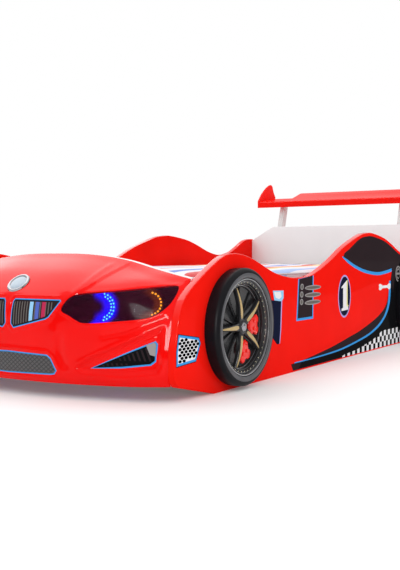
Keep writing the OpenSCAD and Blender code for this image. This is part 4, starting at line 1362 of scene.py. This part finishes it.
# ---- mattress ------------------------------------------------------------------------------------
SQUARE = ((0, 0), (1, 0), (1, 1), (0, 1))
PAD_RADIUS, PAD_CELL = 24, 22
MOST_TRAVEL = 7
TOP_FROM, TOP_BLEND = 290, 25
RIPPLE, TOP_SINK = 1.1, 0.4
FOOT_BAND, BOX_MARGIN = 4, 0.4
PIPING_IN, PIPING_RADIUS, PIPING_CORNER, PIPING_ROUND = 17, 3.2, 26, 10
CLOTH = {"quality": 5, "mass": 0.3, "tension_stiffness": 14, "compression_stiffness": 14,
         "bending_stiffness": 1.5, "use_pressure": True, "uniform_pressure_force": 4}
CLOTH_FRAMES = 16


def soft_box(low, high, radius, cell):
    """A closed box with rounded edges on an even grid."""
    low, high = np.array(low, float), np.array(high, float)
    counts = np.maximum(((high - low) / cell).astype(int), 3)
    axes = [np.linspace(low[k], high[k], counts[k] + 1) for k in range(3)]
    index, points, faces = {}, [], []

    def vertex(i, j, k):
        key = (i, j, k)
        if key not in index:
            index[key] = len(points)
            p = np.array([axes[0][i], axes[1][j], axes[2][k]])
            core = np.clip(p, low + radius, high - radius)
            away = p - core
            length = np.linalg.norm(away)
            points.append(core + away * (radius / length if length > 0 else 1))
        return index[key]

    nx, ny, nz = counts
    for i in range(nx):
        for j in range(ny):
            for k in (0, nz):
                faces.append([vertex(i + a, j + b, k) for a, b in SQUARE])
    for i in range(nx):
        for k in range(nz):
            for j in (0, ny):
                faces.append([vertex(i + a, j, k + b) for a, b in SQUARE])
    for j in range(ny):
        for k in range(nz):
            for i in (0, nx):
                faces.append([vertex(i, j + a, k + b) for a, b in SQUARE])
    return points, faces


def mattress():
    """The pad: puffed by a little inner pressure, rippled on top and kept inside the CAD box."""
    low, high = (np.array(v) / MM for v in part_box("mattress"))
    points, faces = soft_box(low + (5, 5, 0.5), high - (5, 5, 5), PAD_RADIUS, PAD_CELL)
    pad = outward(make("mattress_pad", points, faces, "mattress_cover"))
    start = np.array(points)
    cloth = pad.modifiers.new("cloth", "CLOTH")
    for key, value in CLOTH.items():
        setattr(cloth.settings, key, value)
    cloth.settings.effector_weights.gravity = 0
    cloth.collision_settings.use_collision = False
    for moment in range(1, CLOTH_FRAMES + 1):
        scene.frame_set(moment)
    shape = pad.evaluated_get(bpy.context.evaluated_depsgraph_get())
    moved = np.array([tuple(v.co) for v in shape.data.vertices]) / MM
    pad.modifiers.remove(cloth)
    scene.frame_set(1)
    shift = moved - start
    length = np.linalg.norm(shift, axis=1, keepdims=True)
    shift *= np.minimum(1, MOST_TRAVEL / np.maximum(length, 1e-6))
    x, y, z = start.T
    ripple = np.sin(x / 61 + 1.4 * np.sin(y / 190)) * np.sin(y / 83 + x / 240) + 0.5 * np.sin(x / 27 + y / 45)
    shift[:, 2] += step((z - TOP_FROM) / TOP_BLEND) * (RIPPLE * ripple - TOP_SINK)
    shift[:, 2] = np.where(z < low[2] + FOOT_BAND, np.maximum(shift[:, 2], 0), shift[:, 2])
    final = np.clip(start + shift, low + BOX_MARGIN, high - BOX_MARGIN)
    for vertex, p in zip(pad.data.vertices, final):
        vertex.co = Vector(p * MM)
    pad.data.update()
    smooth = pad.modifiers.new("smooth", "SUBSURF")
    smooth.levels = smooth.render_levels = 1
    piece(pad, "mattress_cover", ["mattress"], "mattress")
    piping("mattress_piping_top", low, high, high[2] - PIPING_IN)
    piping("mattress_piping_base", low, high, low[2] + PIPING_IN)


def piping(name, low, high, z):
    """A sewn edge cord round the mattress: a tube on a rounded rectangle."""
    left, front = low[0] + PIPING_CORNER, low[1] + PIPING_CORNER
    right, rear = high[0] - PIPING_CORNER, high[1] - PIPING_CORNER
    reach = PIPING_CORNER - PIPING_RADIUS
    points, faces = [], []
    for x, y, start in ((right, rear, 0), (left, rear, 90), (left, front, 180), (right, front, 270)):
        for a in (math.radians(start + 15 * k) for k in range(7)):
            for b in (2 * math.pi * k / PIPING_ROUND for k in range(PIPING_ROUND)):
                out = reach + PIPING_RADIUS * math.cos(b)
                points.append((x + out * math.cos(a), y + out * math.sin(a), z + PIPING_RADIUS * math.sin(b)))
    rings = len(points) // PIPING_ROUND
    for i in range(rings):
        here, after = i * PIPING_ROUND, (i + 1) % rings * PIPING_ROUND
        faces += [(here + k, after + k, after + (k + 1) % PIPING_ROUND, here + (k + 1) % PIPING_ROUND)
                  for k in range(PIPING_ROUND)]
    piece(outward(make(name, points, faces, "piping")), "mattress_cover", (), "mattress")


HEAD_PRINT_Y, COVER_THREADS = 0.62, 420


def cover_material():
    """Printed cotton cover: bold slanted fields of blue, white, red and yellow, chequers at the head."""
    n = Nodes("mattress_cover").set(sheen=0.25, sheen_roughness=0.5)
    warped = n.stretched((1.5, 0.42, 0))
    fields = n.wave(1.0, warped, distortion=4.0, direction="DIAGONAL", profile="SAW")
    palette = [(0.0, (0.80, 0.80, 0.86)), (0.18, (0.10, 0.20, 0.66)), (0.30, (0.80, 0.82, 0.88)),
               (0.42, (0.72, 0.05, 0.05)), (0.52, (0.86, 0.62, 0.22)), (0.60, (0.78, 0.80, 0.88)),
               (0.74, (0.36, 0.50, 0.84)), (0.86, (0.82, 0.80, 0.84)), (0.94, (0.76, 0.10, 0.08))]
    base = n.ramp(fields, palette, constant=True)
    checks = n.add("ShaderNodeTexChecker")
    checks.inputs["Scale"].default_value = 26
    checks.inputs["Color1"].default_value = (0.03, 0.03, 0.035, 1)
    checks.inputs["Color2"].default_value = (0.82, 0.82, 0.84, 1)
    n.link(n.stretched((1, 0.2, 0)), checks.inputs["Vector"])
    split = n.add("ShaderNodeSeparateXYZ")
    n.link(n.place, split.inputs["Vector"])
    head = n.math("GREATER_THAN", split.outputs["Y"], HEAD_PRINT_Y)
    colour = n.mix(head, base, checks.outputs["Color"])
    weave = n.math("MULTIPLY", n.wave(COVER_THREADS, direction="X"), n.wave(COVER_THREADS, direction="Y"))
    n.colour(n.mix(0.12, colour, n.ramp(weave, [(0, (0.4, 0.4, 0.4)), (1, (1, 1, 1))]), "MULTIPLY"))
    n.roughness(n.noise(50, 3), 0.7, 0.9)
    n.bump(weave, 0.12)
    return n.material


def lens_material():
    """Smoked, see-through lamp lens."""
    n = Nodes("smoked_lens").set(alpha=0.36, roughness=0.12, coat=0.02, coat_roughness=0.04, specular=0.05)
    n.colour(n.ramp(n.noise(9, 2), [(0.3, (0.020, 0.002, 0.010)), (0.7, (0.035, 0.003, 0.014))]))
    n.bump(n.noise(40, 2), 0.03)
    return n.material


# Painted glow on the lamp tray, standing in for the rings' light: ring, reach in metres, colour, power, and
# how far inwards of the ring it lies.
TRAY_GLOWS = ((BLUE_RING, 0.030, (0.0, 0.004, 1.0), 1.0, 17),
              (AMBER_RING, 0.018, (0.9, 0.16, 0.01), 0.08, 12))


def tray_material():
    """Dark lamp tray with painted glow: it emits the lit rings' colours, stronger by their nearness."""
    n = Nodes("lamp_tray").set(roughness=0.35, specular=0.08)
    split = n.add("ShaderNodeSeparateXYZ")
    n.link(n.place, split.inputs["Vector"])
    apart = n.math("ABSOLUTE", split.outputs["X"])
    merged = n.add("ShaderNodeCombineXYZ")
    for axis, source in zip("XYZ", (apart, split.outputs["Y"], split.outputs["Z"])):
        n.link(source, merged.inputs[axis])

    def fade(value, dark, full, top=1.0):
        node = n.add("ShaderNodeMapRange", interpolation_type="SMOOTHERSTEP")
        node.inputs["From Min"].default_value = dark
        node.inputs["From Max"].default_value = full
        node.inputs["To Max"].default_value = top
        n.link(value, node.inputs["Value"])
        return node.outputs["Result"]

    glows = []
    for (centre, radius, _, _), reach, colour, power, back in TRAY_GLOWS:
        x, y, z = centre[0] - back, centre[1], centre[2]
        gap = n.add("ShaderNodeVectorMath", operation="DISTANCE")
        n.link(merged.outputs["Vector"], gap.inputs[0])
        gap.inputs[1].default_value = (x * MM, y * MM, z * MM)
        off_arc = n.math("ABSOLUTE", n.math("SUBTRACT", gap.outputs["Value"], (radius + 3) * MM))
        outer = fade(apart, (x - 16) * MM, (x + 12) * MM)
        near = n.math("MULTIPLY", fade(off_arc, reach, 0.003, power), outer)
        glows.append(n.mix(near, (0, 0, 0), colour))
    streaks = n.noise(40, 2, n.stretched((1, 1, 7)))
    total = n.mix(1.0, glows[0], glows[1], "ADD")
    # The tray emits the summed glows: painted light from the rings.
    n.link(total, n.shader.inputs["Emission Color"])
    n.set(glow=3.0)
    n.colour(n.ramp(streaks, [(0.35, (0.060, 0.004, 0.018)), (0.65, (0.13, 0.010, 0.035))]))
    n.bump(streaks, 0.6)
    return n.material


MESH_PITCH, MESH_LINE, MESH_SLANT = 0.0075, 0.0022, 1.3


def mesh_print():
    """Printed diamond mesh of the lower grille: two sets of slanted lines."""
    n = Nodes("grille_mesh").set(coat=0.3)
    split = n.add("ShaderNodeSeparateXYZ")
    n.link(n.place, split.inputs["Vector"])
    lines = []
    for way in (1, -1):
        slant = n.math("ADD", split.outputs["X"], n.math("MULTIPLY", split.outputs["Z"], way * MESH_SLANT))
        saw = n.math("PINGPONG", slant, MESH_PITCH)
        lines.append(n.math("LESS_THAN", saw, MESH_LINE))
    both_ways = n.math("MAXIMUM", *lines)
    n.colour(n.mix(both_ways, (0.060, 0.056, 0.058), (0.008, 0.008, 0.009)))
    n.roughness(n.noise(60, 3), 0.25, 0.4)
    n.bump(both_ways, -0.1)
    return n.material


# ---- hidden and small CAD nodes ------------------------------------------------------------------
MERGE_MM = 0.05


def dress_nodes():
    """Looks and softened edges for the CAD nodes that stay as they are."""
    looks = {"pine": ["ledger_left", "ledger_right", "centre_beam", "beam_legs", "slats"],
             "webbing": ["slat_tapes"], "bezel": ["button_bezel"], "button": ["light_button"],
             "zinc": ["corner_brackets", "bracket_screws", "ledger_screws", "nose_screws", "wheel_screws",
                      "wing_screws"],
             "black_plastic": ["control_box", "dc_inlet"], "circuit": ["circuit_board"],
             "cable": ["wiring_loom", "loom_branch"], "white_plastic": ["cable_splitter", "loom_clips"]}
    bevels = {"ledger_left": 2, "ledger_right": 2, "centre_beam": 2, "beam_legs": 2, "slats": 2.5,
              "corner_brackets": 0.5, "control_box": 1.6, "cable_splitter": 1, "loom_clips": 0.5,
              "circuit_board": 0.2, "dc_inlet": 0.3, "button_bezel": 0.3, "light_button": 0.3}
    for look, nodes in looks.items():
        for name in nodes:
            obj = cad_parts[name]
            obj.data.materials.clear()
            obj.data.materials.append(MATERIALS[look])
            if name in bevels:
                merge = obj.modifiers.new("merge", "WELD")
                merge.merge_threshold = MERGE_MM * MM
                soften(obj, bevels[name], 2)


MATERIALS["mattress_cover"] = cover_material()
MATERIALS["smoked_lens"] = lens_material()
MATERIALS["lamp_tray"] = tray_material()
MATERIALS["grille_mesh"] = mesh_print()

both(side_board)
end_boards()
front_nose()
both(headlight)
both(grille_films)
lower_grille()
badge()
both(side_films)
both(wheels)
wing()
mattress()
dress_nodes()
